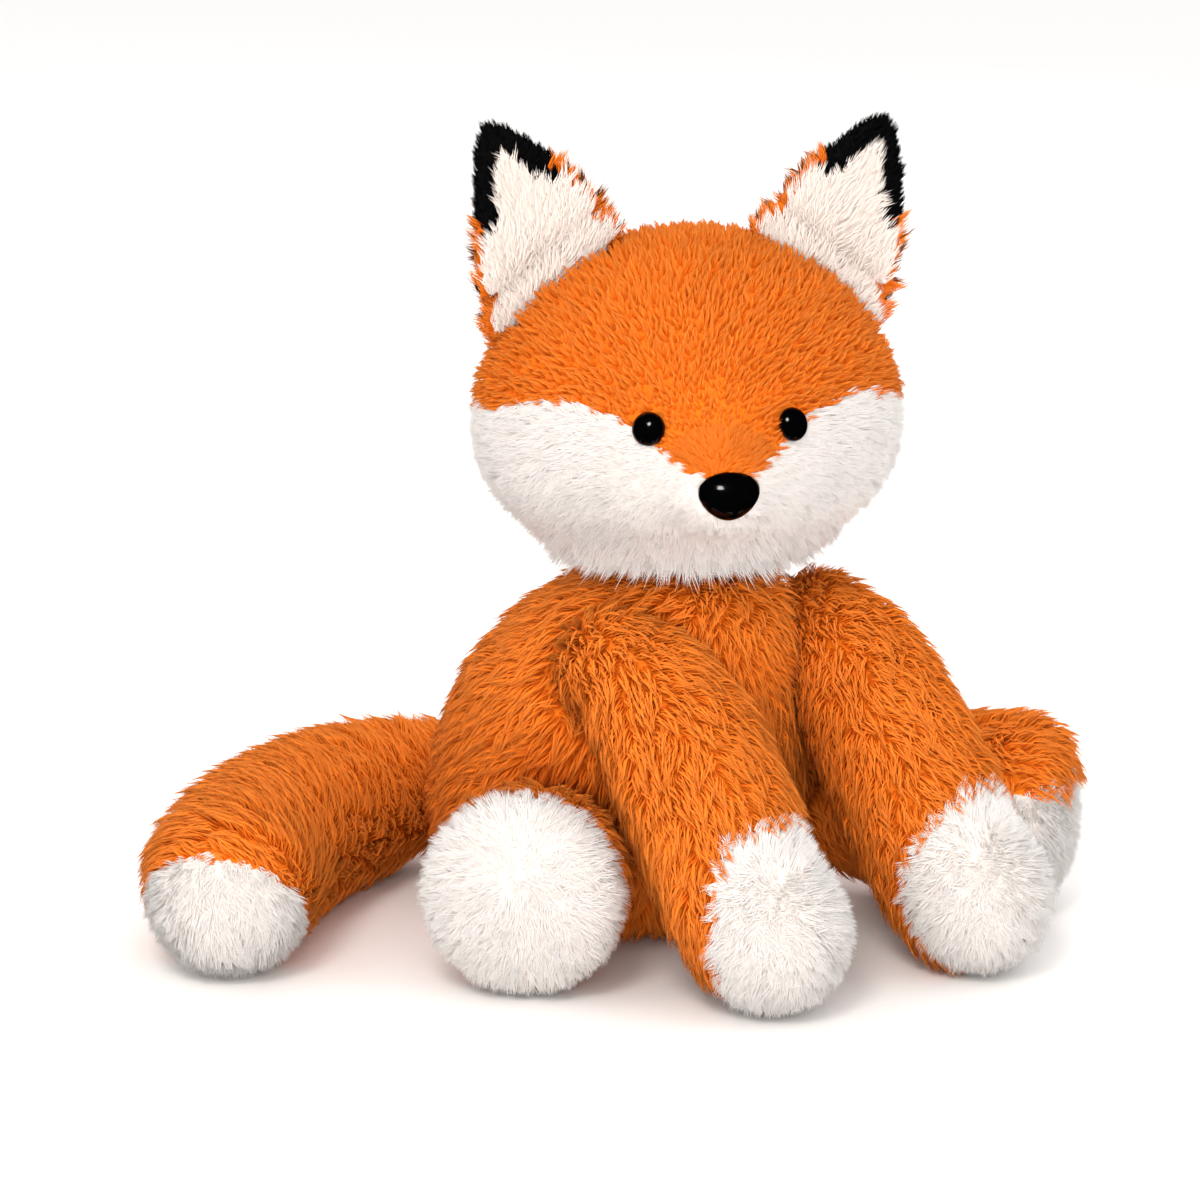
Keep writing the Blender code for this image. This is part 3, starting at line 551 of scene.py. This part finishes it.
def lock(name, family, seed):
    """A lock: strands that stand side by side at the root and bend over to their tips."""
    strands = family.bent + family.straight
    reach, width, rise, thickness = (
        value * MM for value in (family.reach, family.width, family.rise, family.thickness))
    rng = np.random.default_rng(seed)
    bm = bmesh.new()
    along = bm.verts.layers.float.new("along")
    streak = bm.verts.layers.float.new("streak")
    beside = bm.verts.layers.float.new("beside")
    for number in range(strands):
        turn = math.tau * (number + rng.uniform(-0.3, 0.3)) / strands
        spread = (width / 2 - thickness) * rng.uniform(*STRAND_PLACES)
        foot = Vector((math.cos(turn), math.sin(turn))) * spread
        stray = Vector(rng.uniform(-STRAND_STRAY, STRAND_STRAY, 2)) * width
        stretch = rng.uniform(SHORTEST_STRAND, 1.0)
        curl = rng.uniform(-STRAND_CURL, STRAND_CURL) * width
        radius = thickness * rng.uniform(*STRAND_GIRTHS)
        tone = rng.uniform(0, 1)
        made = bmesh.ops.create_cone(bm, cap_ends=True, segments=3, radius1=1.0,
                                     radius2=0.3, depth=1.0)["verts"]
        # Bent and straight strands take turns until one kind runs out
        pair, odd = divmod(number, 2)
        is_bent = pair >= family.straight if odd else pair < family.bent
        if is_bent:
            sides = {e for v in made for e in v.link_edges
                     if abs(e.verts[0].co.z - e.verts[1].co.z) > 0.5}
            bmesh.ops.subdivide_edges(bm, edges=list(sides), cuts=1)
        # The narrow end closes to a point
        top = [v for v in bm.verts if not v.tag and v.co.z > 0.49]
        bmesh.ops.pointmerge(bm, verts=top, merge_co=(0, 0, 0.5))
        for vert in [v for v in bm.verts if not v.tag]:
            share = vert.co.z + 0.5
            girth = radius * (1 - share ** 2) ** 0.6 if share < 1 else 0.0
            across = Vector((vert.co.x, vert.co.y)).normalized() * girth
            path = share * stretch
            x = reach * (LEAN * path + (1 - LEAN) * path ** 2)
            z = rise * (1 - (1 - path) ** ARCH)
            slope = math.atan2(rise * ARCH * (1 - path) ** (ARCH - 1),
                               reach * (LEAN + 2 * (1 - LEAN) * path))
            offset = foot * (1 - family.closing * share ** 0.8) + stray * share
            vert.co = Vector((x + across.x * math.sin(slope) + offset.x,
                              across.y + offset.y + curl * math.sin(share * math.pi),
                              z - across.x * math.cos(slope)))
            vert[along] = share
            vert[streak] = tone
            vert[beside] = offset.y / width * 2
            vert.tag = True
    bmesh.ops.recalc_face_normals(bm, faces=bm.faces)
    mesh = bpy.data.meshes.new(name)
    bm.to_mesh(mesh)
    bm.free()
    mesh.shade_smooth()
    return mesh


def lock_collection(family):
    made = bpy.data.collections.new(family + " locks")
    for number in range(VARIANTS):
        name = f"{family} lock {number}"
        made.objects.link(bpy.data.objects.new(name, lock(name, FAMILIES[family], number)))
    return made


def lay_tree(collection):
    """Nodes that set a lock on every root, turned and sized by the root's own values."""
    tree = bpy.data.node_groups.new("lay " + collection.name, "GeometryNodeTree")
    tree.interface.new_socket("Roots", in_out="INPUT", socket_type="NodeSocketGeometry")
    tree.interface.new_socket("Pile", in_out="OUTPUT", socket_type="NodeSocketGeometry")
    start = add(tree, "NodeGroupInput", {}, {})

    def stored(name, kind):
        return add(tree, "GeometryNodeInputNamedAttribute", {"data_type": kind},
                   {"Name": name}).outputs["Attribute"]

    locks = add(tree, "GeometryNodeCollectionInfo", {},
                {"Collection": collection, "Separate Children": True, "Reset Children": True})
    turn = add(tree, "FunctionNodeAxesToRotation", {"primary_axis": "Z", "secondary_axis": "X"},
               {"Primary Axis": stored("stand", "FLOAT_VECTOR"),
                "Secondary Axis": stored("lie", "FLOAT_VECTOR")})
    placed = add(tree, "GeometryNodeInstanceOnPoints", {},
                 {"Points": start.outputs["Roots"], "Instance": locks.outputs["Instances"],
                  "Pick Instance": True, "Instance Index": stored("pick", "INT"),
                  "Rotation": turn.outputs["Rotation"], "Scale": stored("size", "FLOAT_VECTOR")})
    real = add(tree, "GeometryNodeRealizeInstances", {}, {"Geometry": placed.outputs["Instances"]})
    end = add(tree, "NodeGroupOutput", {}, {})
    tree.links.new(real.outputs["Geometry"], end.inputs["Pile"])
    return tree


TRIES = 2.6  # roots tried for each square of a spacing's side
COVERED_GAP = 1.0 * MM  # a root this near another form has no room for a lock
LEAST_ROOM = 0.7  # the shortest that a lock is cut beside another form
HEADING = (0.85, 0.5)  # how far along its fabric, and away from it, a lock looks for room
LOOK_FROM = 0.5 * MM  # the place above its root that it looks from
CLUMP = 5  # locks that lean together, on average
CLUMP_REACH = 1.2  # how far ahead their shared tip is, in reaches of a lock


def scatter(form, fabric, spacing, seed):
    """Roots about a spacing apart on one fabric of a form, with their normals."""
    rng = np.random.default_rng(seed)
    triangles = form.triangles[form.covered(fabric)]
    corners = form.points[triangles]
    sides = np.cross(corners[:, 1] - corners[:, 0], corners[:, 2] - corners[:, 0])
    areas = np.linalg.norm(sides, axis=1) / 2
    count = int(TRIES * areas.sum() / spacing ** 2)
    picks = rng.choice(len(triangles), count, p=areas / areas.sum())
    mix = rng.dirichlet((1, 1, 1), count)[:, :, None]
    points = (corners[picks] * mix).sum(1)
    normals = unit((form.normals[triangles[picks]] * mix).sum(1))
    tree = spots_tree(points)
    free = np.ones(count, bool)
    kept = []
    for index in range(count):
        if free[index]:
            kept.append(index)
            for _, other, _ in tree.find_range(points[index], spacing):
                free[other] = False
    return points[kept], normals[kept]


def others_tree(form):
    """A search tree over the backings of every other form."""
    points, triangles, base = [], [], 0
    for other in FORMS.values():
        if other is not form:
            points.append(other.points)
            triangles.append(other.triangles + base)
            base += len(other.points)
    return BVHTree.FromPolygons(np.vstack(points).tolist(), np.vstack(triangles).tolist())


def room_for(points, normals, ways, reach, tree):
    """How much of each lock has room: none where another form covers the root."""
    along, over = HEADING
    room = np.ones(len(points))
    for index, (point, normal, way) in enumerate(zip(points, normals, ways)):
        if tree.find_nearest(Vector(point), COVERED_GAP)[0] is not None:
            room[index] = 0.0
            continue
        heading = Vector(way * along + normal * over).normalized()
        distance = tree.ray_cast(Vector(point + normal * LOOK_FROM), heading, reach)[3]
        if distance is not None:
            room[index] = max(LEAST_ROOM, distance / reach)
    return room


def gather(points, ways, reach, pull, seed):
    """Turn neighbouring locks towards a shared tip, so that they lie in larger clumps."""
    rng = np.random.default_rng(seed)
    heads = rng.permutation(len(points))[:max(1, len(points) // CLUMP)]
    tree = spots_tree(points[heads])
    lead = np.array([heads[tree.find(point)[1]] for point in points])
    tips = points[lead] + ways[lead] * reach * CLUMP_REACH
    return unit(ways * reach * (1 - pull) + (tips - points) * pull)


FIELDS = {"FLOAT_VECTOR": ("vector", np.float32), "FLOAT": ("value", np.float32),
          "INT": ("value", np.int32)}  # each kind of value by its field and its numbers


def root_mesh(name, points, values):
    """A mesh of loose points that carry these named values."""
    mesh = bpy.data.meshes.new(name)
    mesh.from_pydata(points.tolist(), [], [])
    for title, (kind, rows) in values.items():
        field, number = FIELDS[kind]
        layer = mesh.attributes.new(title, kind, "POINT")
        layer.data.foreach_set(field, rows.astype(number).ravel())
    return mesh


LENGTHS = (0.84, 1.14)  # the least and the most that chance makes of a lock's length
HEIGHTS = (0.8, 1.2)  # and of its height
MOST_WIDTH = 1.1
WIDTH_SHARE = 0.5  # how far the width of a lock follows its length
COMB_WAVE = 14 * MM  # over which the pile drifts from its comb
SHADE_WAVE = 22 * MM  # from one patch of a shade to the next
SHADE_DRIFT = 0.28  # how far the shade changes from patch to patch
SHADE_SPREAD = 0.17  # and from lock to lock
STREAK_SHARE = 0.25  # how much of its shade a strand has by itself
COAT_SEED, COMB_SEED, SHADE_SEED = 900, 40, 7


def everywhere(points, normals):
    return np.ones(len(points), bool)


def upright(points, normals):
    return normals


def full(points):
    return 1.0


@dataclass
class Coat:
    """The pile on one of the fabrics, or on a part of it."""

    name: str
    fabric: str
    family: str
    spacing: float  # between the roots, in millimetres
    comb: Callable  # which way the pile lies
    finish: bpy.types.Material
    wander: float = 0.4  # how far neighbouring locks drift from the comb together
    stray: float = 0.12  # how far each lock turns by itself, in radians
    pull: float = 0.6  # how far the locks of a clump lean together
    part: Callable = everywhere  # which of the roots it keeps
    hang: Callable = upright  # which way the locks stand up
    length: Callable = full  # how long they are
    lift: Callable = full  # how high they stand for their length
    relief: float = 1.0  # how strongly single locks and strands are shaded

    @property
    def reach(self):
        return FAMILIES[self.family].reach * MM

    def combed(self, points, normals, seed, rng):
        """Which way each lock lies: combed, drifting, in clumps, and a little by itself."""
        ways = flat_on(self.comb(points, normals), normals)
        wandering = drift(points, COMB_WAVE, COMB_SEED) * self.wander
        ways = flat_on(ways + wandering, normals)
        ways = flat_on(gather(points, ways, self.reach, self.pull, seed), normals)
        swing = rng.normal(0, self.stray, len(points))[:, None]
        return ways * np.cos(swing) + np.cross(normals, ways) * np.sin(swing)

    def build(self, tree, seed):
        """Root the locks, comb and size them, and lay them all as one piece."""
        form = form_of(self.fabric)
        rng = np.random.default_rng(COAT_SEED + seed)
        points, normals = scatter(form, self.fabric, self.spacing * MM, seed)
        mask = self.part(points, normals)
        points, normals = points[mask], normals[mask]
        normals = self.hang(points, normals)
        ways = self.combed(points, normals, seed, rng)
        room = room_for(points, normals, ways, self.reach, others_tree(form))
        size = rng.uniform(*LENGTHS, len(points)) * room * self.length(points)
        high = size * self.lift(points)
        kept = room > 0
        points, normals, ways = points[kept], normals[kept], ways[kept]
        size, high = size[kept], high[kept]
        wide = np.minimum(MOST_WIDTH, size * WIDTH_SHARE + (1 - WIDTH_SHARE))
        scale = np.stack((size, wide, high * rng.uniform(*HEIGHTS, len(size))), axis=1)
        patches = drift(points, SHADE_WAVE, SHADE_SEED)[:, 0]
        shade = 0.5 + SHADE_DRIFT * patches + rng.normal(0, SHADE_SPREAD, len(points))
        picks = rng.integers(0, VARIANTS, len(points))
        roots = root_mesh(self.name, points, {
            "stand": ("FLOAT_VECTOR", normals), "lie": ("FLOAT_VECTOR", ways),
            "size": ("FLOAT_VECTOR", scale), "shade": ("FLOAT", shade), "pick": ("INT", picks)})
        obj = new_object(self.name, roots)
        modifier(obj, "NODES", node_group=tree)
        self.add_piece(settled(obj, self.name), form)

    def add_piece(self, mesh, form):
        """Press the pile up from the floor, map it, light it softly and dress it."""
        points = read(mesh.vertices, "co", 3)
        points[:, 2] = np.maximum(points[:, 2], FLOOR_GAP + points[:, 2] * FLOOR_GIVE)
        mesh.vertices.foreach_set("co", points.astype(np.float32).ravel())
        own = np.array([v.normal for v in mesh.vertices])
        layers = mesh.attributes
        stand, lie = (read(layers[name].data, "vector", 3) for name in ("stand", "lie"))
        shade, along, streak, beside = (
            read(layers[name].data, "value") for name in ("shade", "along", "streak", "beside"))
        rounded = (stand + lie * (along - NOD_START) * LOCK_NOD * self.relief
                   + np.cross(stand, lie) * beside * LOCK_CROWN * self.relief)
        hard = (1 - SOFT_SHARE) * self.relief
        lit = unit(own * hard + unit(rounded) * (1 - hard))
        tone = shade * (1 - STREAK_SHARE) + streak * STREAK_SHARE
        spots = np.clip(np.hstack((tone, along)), 0.01, 0.99)
        corners = np.empty(len(mesh.loops), np.int32)
        mesh.loops.foreach_get("vertex_index", corners)
        map_layer = mesh.uv_layers.new(name="OFBake")
        map_layer.data.foreach_set("uv", spots[corners].astype(np.float32).ravel())
        for name in ("shade", "along", "streak", "beside", "stand", "lie", "size", "pick"):
            if name in mesh.attributes:
                mesh.attributes.remove(mesh.attributes[name])
        mesh.materials.clear()
        mesh.normals_split_custom_set_from_vertices(lit.tolist())
        obj = new_object(self.name, mesh, self.finish)
        obj.visible_glossy = False  # the beads mirror the lights alone
        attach(obj, form.body)
        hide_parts(self.fabric)


# Combs: which way the pile lies


def from_nose(points, normals):
    """Away from the nose: up the forehead, out over the cheeks and down the back."""
    away = unit(points - NOSE - np.array((0, 0, 4 * MM)))
    back = ramp(points[:, 1:2], NECK[1], NECK[1] + 40 * MM)
    low = ramp(points[:, 2:3], EYES[0][2] + 12 * MM, EYES[0][2] - 2 * MM)
    wide = ramp(gap_to(NOSE[:2], points[:, :2])[:, None], 30 * MM, 60 * MM)
    return away + (back * 1.2 + low * wide * 0.8) * DOWN


def cheek_comb(points, normals):
    """Outwards over the white of the face, and down where it hangs over the chest."""
    low = ramp(points[:, 2:3], CHIN_LEVEL, CHIN_LEVEL - FRINGE_REACH)
    return unit(points - NOSE) + (0.3 + 2.6 * low) * DOWN


def torso_comb(points, normals):
    """Down, and from the chest round to the back."""
    side = ramp(np.abs(points[:, 0:1]), 0, 40 * MM)
    high = ramp(points[:, 2:3], 50.4 * MM, 78.4 * MM)
    sideways = np.sign(points[:, 0:1]) * side * high * 0.7
    return np.concatenate((sideways, 0.55 * side, -np.ones((len(points), 1))), axis=1)


def along_course(course, sag=0.25):
    """Along a limb from its root to its end, with a little sag."""
    course = np.array(course, float)

    def comb(points, normals):
        ways = np.zeros_like(points)
        for start, end in zip(course, course[1:]):
            step = end - start
            share = np.clip(((points - start) @ step) / (step @ step), 0, 1)
            gap = gap_to(start, points - share[:, None] * step) / MM
            # The nearest stretch counts by far the most
            ways += np.outer((gap + 1) ** -4, step / np.linalg.norm(step))
        return unit(ways) + sag * DOWN

    return comb


def outward(centre):
    """Away from a centre behind a paw or foot, over its rounded end."""
    return lambda points, normals: unit(points - centre) + 0.3 * DOWN


def ear_comb(side, fan):
    """Up the ear towards its tip, fanned out from the line up its middle."""
    low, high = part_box(side + "_ear_tip")
    tip = np.array(((low.x + high.x) / 2, (low.y + high.y) / 2, high.z + 6 * MM))
    foot = pivot(side + "_ear_fold")
    rise = (tip - foot) / np.linalg.norm(tip - foot)

    def comb(points, normals):
        share = np.clip((points - foot) @ rise, 0, None)[:, None]
        return rise + unit(points - foot - rise * share) * fan

    return comb


def tail_comb(course):
    """Up the side that faces forward, over the top towards the tip, and down the back."""
    base = along_course(course, 0.0)
    over = np.array((-0.55, 0.65, 0.55))
    back = np.array((-0.40, 0.92, 0.0))

    def comb(points, normals):
        facing = np.clip(normals @ back, 0, 1)[:, None]
        return base(points, normals) * 0.4 + over + facing * 1.5 * DOWN

    return comb


# Parts: which roots of a fabric a coat keeps

EYE_GAP = 3.9 * MM  # round the middle of an eye, clear of pile
NOSE_GAP = np.array((6.6, 6.6, 5.2)) * MM
NECK_GAP = 25 * MM
NECK_LEVEL = 93 * MM  # above it the head hides the body's pile
MUZZLE_REACH = 15.0 * MM  # from the nose, over which the pile is shorn short


def face_clear(points, normals):
    """Roots clear of the eyes, the nose and the hollow for the neck."""
    clear = gap_to(NECK, points) > NECK_GAP
    for eye in EYES:
        clear &= gap_to(eye, points) > EYE_GAP
    return clear & (np.linalg.norm((points - NOSE) / NOSE_GAP, axis=1) > 1)


def muzzle(points, normals):
    return face_clear(points, normals) & (gap_to(NOSE, points) < MUZZLE_REACH)


def front_half(points, normals):
    far = gap_to(NOSE, points) >= MUZZLE_REACH
    return face_clear(points, normals) & far & (points[:, 1] < NECK[1])


def back_half(points, normals):
    return face_clear(points, normals) & (points[:, 1] >= NECK[1])


def below_neck(points, normals):
    return points[:, 2] < NECK_LEVEL


# Lengths, and which way the pile stands


def muzzle_length(points):
    """Short by the nose, full length from the cheeks and the forehead on."""
    return 0.5 + 0.5 * ramp(gap_to(NOSE, points), 8 * MM, 34 * MM)


def cheek_length(points):
    """As on the muzzle, and long where the white hangs over the chest."""
    low = ramp(points[:, 2], CHIN_LEVEL, CHIN_LEVEL - FRINGE_REACH)
    jagged = 1 + 0.5 * drift(points, wave=5 * MM, seed=3)[:, 0]
    return np.maximum(0.65, muzzle_length(points)) * (1 + 2.3 * low * jagged)


def crown_length(points):
    """As on the muzzle, and long at the nape, over the seam with the body."""
    low = ramp(points[:, 2], NAPE_LEVEL, NAPE_LEVEL - FRINGE_REACH)
    return muzzle_length(points) * (1 + 1.1 * low)


def shorter_by(fabric, reach, share):
    """Short locks beside another fabric, full length from a reach away."""
    def length(points):
        form = form_of(fabric)
        tree = spots_tree(form.points[form.triangles[form.covered(fabric)]].mean(1))
        away = np.array([tree.find(point)[2] for point in points])
        return share + (1 - share) * ramp(away, 0, reach * MM)
    return length


def hang_below(height):
    """Under a height the pile stands out level, so that it hangs free over the body."""
    def hang(points, normals):
        low = ramp(points[:, 2:3], height, height - HANG_REACH)
        out = (points - NECK) * np.array((1, 1, 0))
        return unit(normals * (1 - low) + unit(out) * low * 1.2)
    return hang


def ear_hang(points, normals):
    """The lining stands square to the ear's flat, also over the roll at its foot."""
    square = unit(normals.mean(0)[None])[0]
    return unit(normals * 0.35 + square * 0.65)


def ear_lift(side):
    """Fuller at the foot of the lining, over the roll of the ear."""
    foot = pivot(side + "_ear_fold")
    return lambda points: 1 + 1.3 * ramp(gap_to(foot, points), 16 * MM, 0)


# How freely the long pile of the body and the white pile of the limbs lie
SHAGGY = {"wander": 0.6, "stray": 0.2}
WOOLLY = {"wander": 0.8, "stray": 0.6, "relief": 0.15}
CUFFS = {"left": 0.85, "right": 0.5}  # the length of a leg's orange pile beside its foot


def head_coats():
    coats = [
        Coat("muzzle_fur", "head_crown", "short", 0.62, from_nose, ORANGE_PILE,
             part=muzzle, wander=0.3, pull=0.2),
        Coat("face_fur", "head_crown", "crown", 0.98, from_nose, ORANGE_PILE,
             length=muzzle_length, part=front_half, wander=0.5, pull=0.4, stray=0.3),
        Coat("crown_fur", "head_crown", "crown", 1.10, from_nose, ORANGE_PILE,
             length=crown_length, hang=hang_below(NAPE_LEVEL), part=back_half,
             wander=0.5, pull=0.4, stray=0.3),
    ]
    for cheek in ("left_cheek", "right_cheek"):
        coats.append(Coat(cheek + "_fur", cheek, "wool", 0.88, cheek_comb, WHITE_PILE,
                          length=cheek_length, hang=hang_below(CHIN_LEVEL), part=face_clear,
                          wander=0.5, pull=0.5, stray=0.45, relief=0.15))
    return coats


def torso_coats():
    return [
        Coat("chest_fur", "chest_panel", "long", 1.58, torso_comb, ORANGE_PILE,
             part=below_neck, **SHAGGY),
        Coat("back_fur", "back_panel", "long", 1.68, torso_comb, ORANGE_PILE,
             part=below_neck, **SHAGGY),
        Coat("seat_fur", "seat_panel", "long", 2.6, torso_comb, ORANGE_PILE),
    ]


def side_coats(side):
    """The coats of the arm, the leg and the ear on one side."""
    arm, paw, leg, foot, ear = (
        side + "_" + limb for limb in ("arm", "paw", "leg", "foot", "ear"))
    shoulder, elbow, paw_middle = arm_course(arm)
    paw_back = paw_middle * 1.3 - shoulder * 0.3 + (elbow - paw_middle) * 0.5
    return [
        Coat(arm + "_fur", arm + "_sleeve", "long", 1.55,
             along_course((shoulder, elbow, paw_middle)), ORANGE_PILE,
             length=shorter_by(paw, 8, 0.6), **SHAGGY),
        Coat(paw + "_fur", paw, "wool", 0.95, outward(paw_back), WHITE_PILE, **WOOLLY),
        Coat(leg + "_fur", leg + "_sleeve", "long", 1.6,
             along_course((pivot(leg + "_lift"), middle(foot)), 0.8), ORANGE_PILE,
             length=shorter_by(foot, 12, CUFFS[side]), **SHAGGY),
        Coat(foot + "_fur", foot, "wool", 0.95, outward(middle(foot)), WHITE_PILE, **WOOLLY),
        Coat(ear + "_back_fur", ear + "_back", "lining", 1.1, ear_comb(side, 0.9), ORANGE_PILE,
             stray=0.2, relief=0.4),
        Coat(ear + "_tip_fur", ear + "_tip", "short", 0.8, ear_comb(side, 0.4), BLACK_PILE,
             wander=0.3),
        Coat(ear + "_lining_fur", ear + "_lining", "lining", 0.85, ear_comb(side, 0.25),
             LINING_PILE, wander=0.3, pull=0.3, stray=0.25, relief=0.3, hang=ear_hang,
             lift=ear_lift(side)),
    ]


def tail_coats():
    root = pivot("tail_lift")
    tip = middle("tail_tip")
    sweep = root + np.array((-28, 14, -4)) * MM
    bend = tip + np.array((18, 36, 3)) * MM
    return [
        Coat("tail_fur", "tail_sleeve", "long", 1.66, tail_comb((root, sweep, bend, tip)),
             ORANGE_PILE, length=shorter_by("tail_tip", 9, 0.6), relief=0.8, **SHAGGY),
        Coat("tail_tip_fur", "tail_tip", "wool", 0.95, outward(tip * 0.7 + bend * 0.3),
             WHITE_PILE, wander=0.7, stray=0.5, relief=0.15),
    ]


def build_coats():
    """Every coat, seeded by its place in the list."""
    coats = (torso_coats() + head_coats() + side_coats("left") + side_coats("right")
             + tail_coats())
    trees = {family: lay_tree(lock_collection(family)) for family in FAMILIES}
    for number, coat in enumerate(coats):
        coat.build(trees[coat.family], number)


# Beads and inner pieces


def build_beads():
    """The eyes and the nose, rounded from their solids."""
    for node in ("left_eye", "right_eye", "nose"):
        mesh = joined_copy((node,), node + "_bead")
        mesh.shade_smooth()
        obj = new_object(node + "_bead", mesh, BEAD)
        modifier(obj, "SUBSURF", levels=2, render_levels=2)
        rounded = settled(obj, node + "_bead")
        bead = new_object(node + "_bead", rounded)
        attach(bead, "head")
        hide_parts(node)


STITCHES = 26  # passes of the thread round a closed seam
THREAD_THICKNESS = 0.5  # in millimetres


def thread_path(spots):
    """Round a ring that is given by its vertices, and over its seam at each pass."""
    centre = spots.mean(0)
    spots = spots - centre
    flat, across, axis = np.linalg.svd(spots, full_matrices=False)[2]
    out = np.linalg.norm(spots - np.outer(spots @ axis, axis), axis=1)
    ring, bead = (out.max() + out.min()) / 2, (out.max() - out.min()) / 2
    turns = np.linspace(0, math.tau, STITCHES * 8, endpoint=False)
    way = np.outer(np.cos(turns), flat) + np.outer(np.sin(turns), across)
    pass_turn = turns * STITCHES
    loop = bead / 2
    return (centre + way * (ring - 2 * bead + loop * np.cos(pass_turn))[:, None]
            + np.outer(loop * np.sin(pass_turn), axis))


def build_stitches():
    """Each closing seam as one wound thread, in place of its ring."""
    for node, part in frame["nodes"].items():
        if not node.endswith("_stitching"):
            continue
        path = thread_path(read(part.data.vertices, "co", 3))
        curve = bpy.data.curves.new(node + "_thread", "CURVE")
        curve.dimensions = "3D"
        curve.bevel_depth = THREAD_THICKNESS * MM / 2
        curve.bevel_resolution = 1
        spline = curve.splines.new("POLY")
        spline.points.add(len(path) - 1)
        spline.points.foreach_set("co", np.hstack((path, np.ones((len(path), 1)))).ravel())
        spline.use_cyclic_u = True
        mesh = settled(new_object(node + "_thread", curve), node + "_thread")
        thread = new_object(node + "_thread", mesh, THREAD)
        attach(thread, BODIES[node])
        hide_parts(node)


def dress_inner_nodes():
    """The pieces inside keep their solids and get their own finish."""
    for name, obj in frame["nodes"].items():
        if SLOTS[name] in INNER:
            obj.data.materials.clear()
            obj.data.materials.append(INNER[SLOTS[name]])


# Studio

CAMERA_TURN = math.radians(-38)
CAMERA_RISE = math.radians(13)
CAMERA_DISTANCE = 1.1
PIXELS_PER_METRE = 4020.0  # at the seat, in the picture of 1200 by 1200 pixels
PICTURE = 1200
SEAT_PIXEL = (622.0, 901.0)  # where the middle of the seat falls in that picture


def build_camera():
    """The picture's own view: level, turned to the fox's right, a little above it."""
    right = Vector((math.cos(CAMERA_TURN), math.sin(CAMERA_TURN), 0))
    level = Vector((math.sin(CAMERA_TURN), -math.cos(CAMERA_TURN), 0))
    back = level * math.cos(CAMERA_RISE) + Vector((0, 0, math.sin(CAMERA_RISE)))
    up = back.cross(right)
    half = PICTURE / 2
    aim = (right * (half - SEAT_PIXEL[0]) - up * (half - SEAT_PIXEL[1])) / PIXELS_PER_METRE
    data = bpy.data.cameras.new("camera")
    data.lens_unit = "FOV"
    data.angle = 2 * math.atan(half / (PIXELS_PER_METRE * CAMERA_DISTANCE))
    camera = bpy.data.objects.new("camera", data)
    bpy.context.scene.collection.objects.link(camera)
    place = Matrix((right, up, back)).transposed().to_4x4()
    place.translation = aim + back * CAMERA_DISTANCE
    camera.matrix_world = place
    bpy.context.scene.camera = camera


LIT_LEVEL = 0.08  # the height on the toy that the lights are aimed at, in metres


def area_light(name, place, size, power, tint, mirrored=True):
    data = bpy.data.lights.new(name, "AREA")
    data.shape = "DISK"
    data.size = size
    data.energy = power
    data.color = linear(tint)[:3]
    light = bpy.data.objects.new(name, data)
    bpy.context.scene.collection.objects.link(light)
    light.location = place
    light.visible_glossy = mirrored
    aim = Vector((0, 0, LIT_LEVEL)) - light.location
    light.rotation_euler = aim.to_track_quat("-Z", "Y").to_euler()


FLOOR_HALF = 4.0  # half of the floor's side, in metres
SKY_STRENGTH = 1.12


def build_studio():
    bm = bmesh.new()
    bmesh.ops.create_grid(bm, x_segments=1, y_segments=1, size=FLOOR_HALF)
    mesh = bpy.data.meshes.new("floor")
    bm.to_mesh(mesh)
    bm.free()
    paper, _, _ = new_material("pale matt paper", {"Base Color": linear("#F7F5F3"),
                                                   "Roughness": 0.9})
    floor = new_object("floor", mesh, paper)
    floor.visible_glossy = False
    world = bpy.data.worlds.new("studio")
    world.use_nodes = True
    sky = world.node_tree.nodes["Background"]
    sky.inputs["Color"].default_value = linear("#FFFFFF")
    sky.inputs["Strength"].default_value = SKY_STRENGTH
    bpy.context.scene.world = world
    world.cycles_visibility.glossy = False
    bpy.context.scene.view_settings.view_transform = "Standard"
    area_light("key", (-0.95, -0.75, 1.2), 0.5, 10.0, "#FFF8F0")
    area_light("front", (-0.85, -1.25, 0.4), 1.2, 14.0, "#FFFDFA", mirrored=False)
    area_light("side", (1.3, 0.5, 0.8), 1.0, 6.0, "#FFFFFF", mirrored=False)


build_camera()
build_forms()
build_coats()
build_beads()
build_stitches()
dress_inner_nodes()
build_studio()
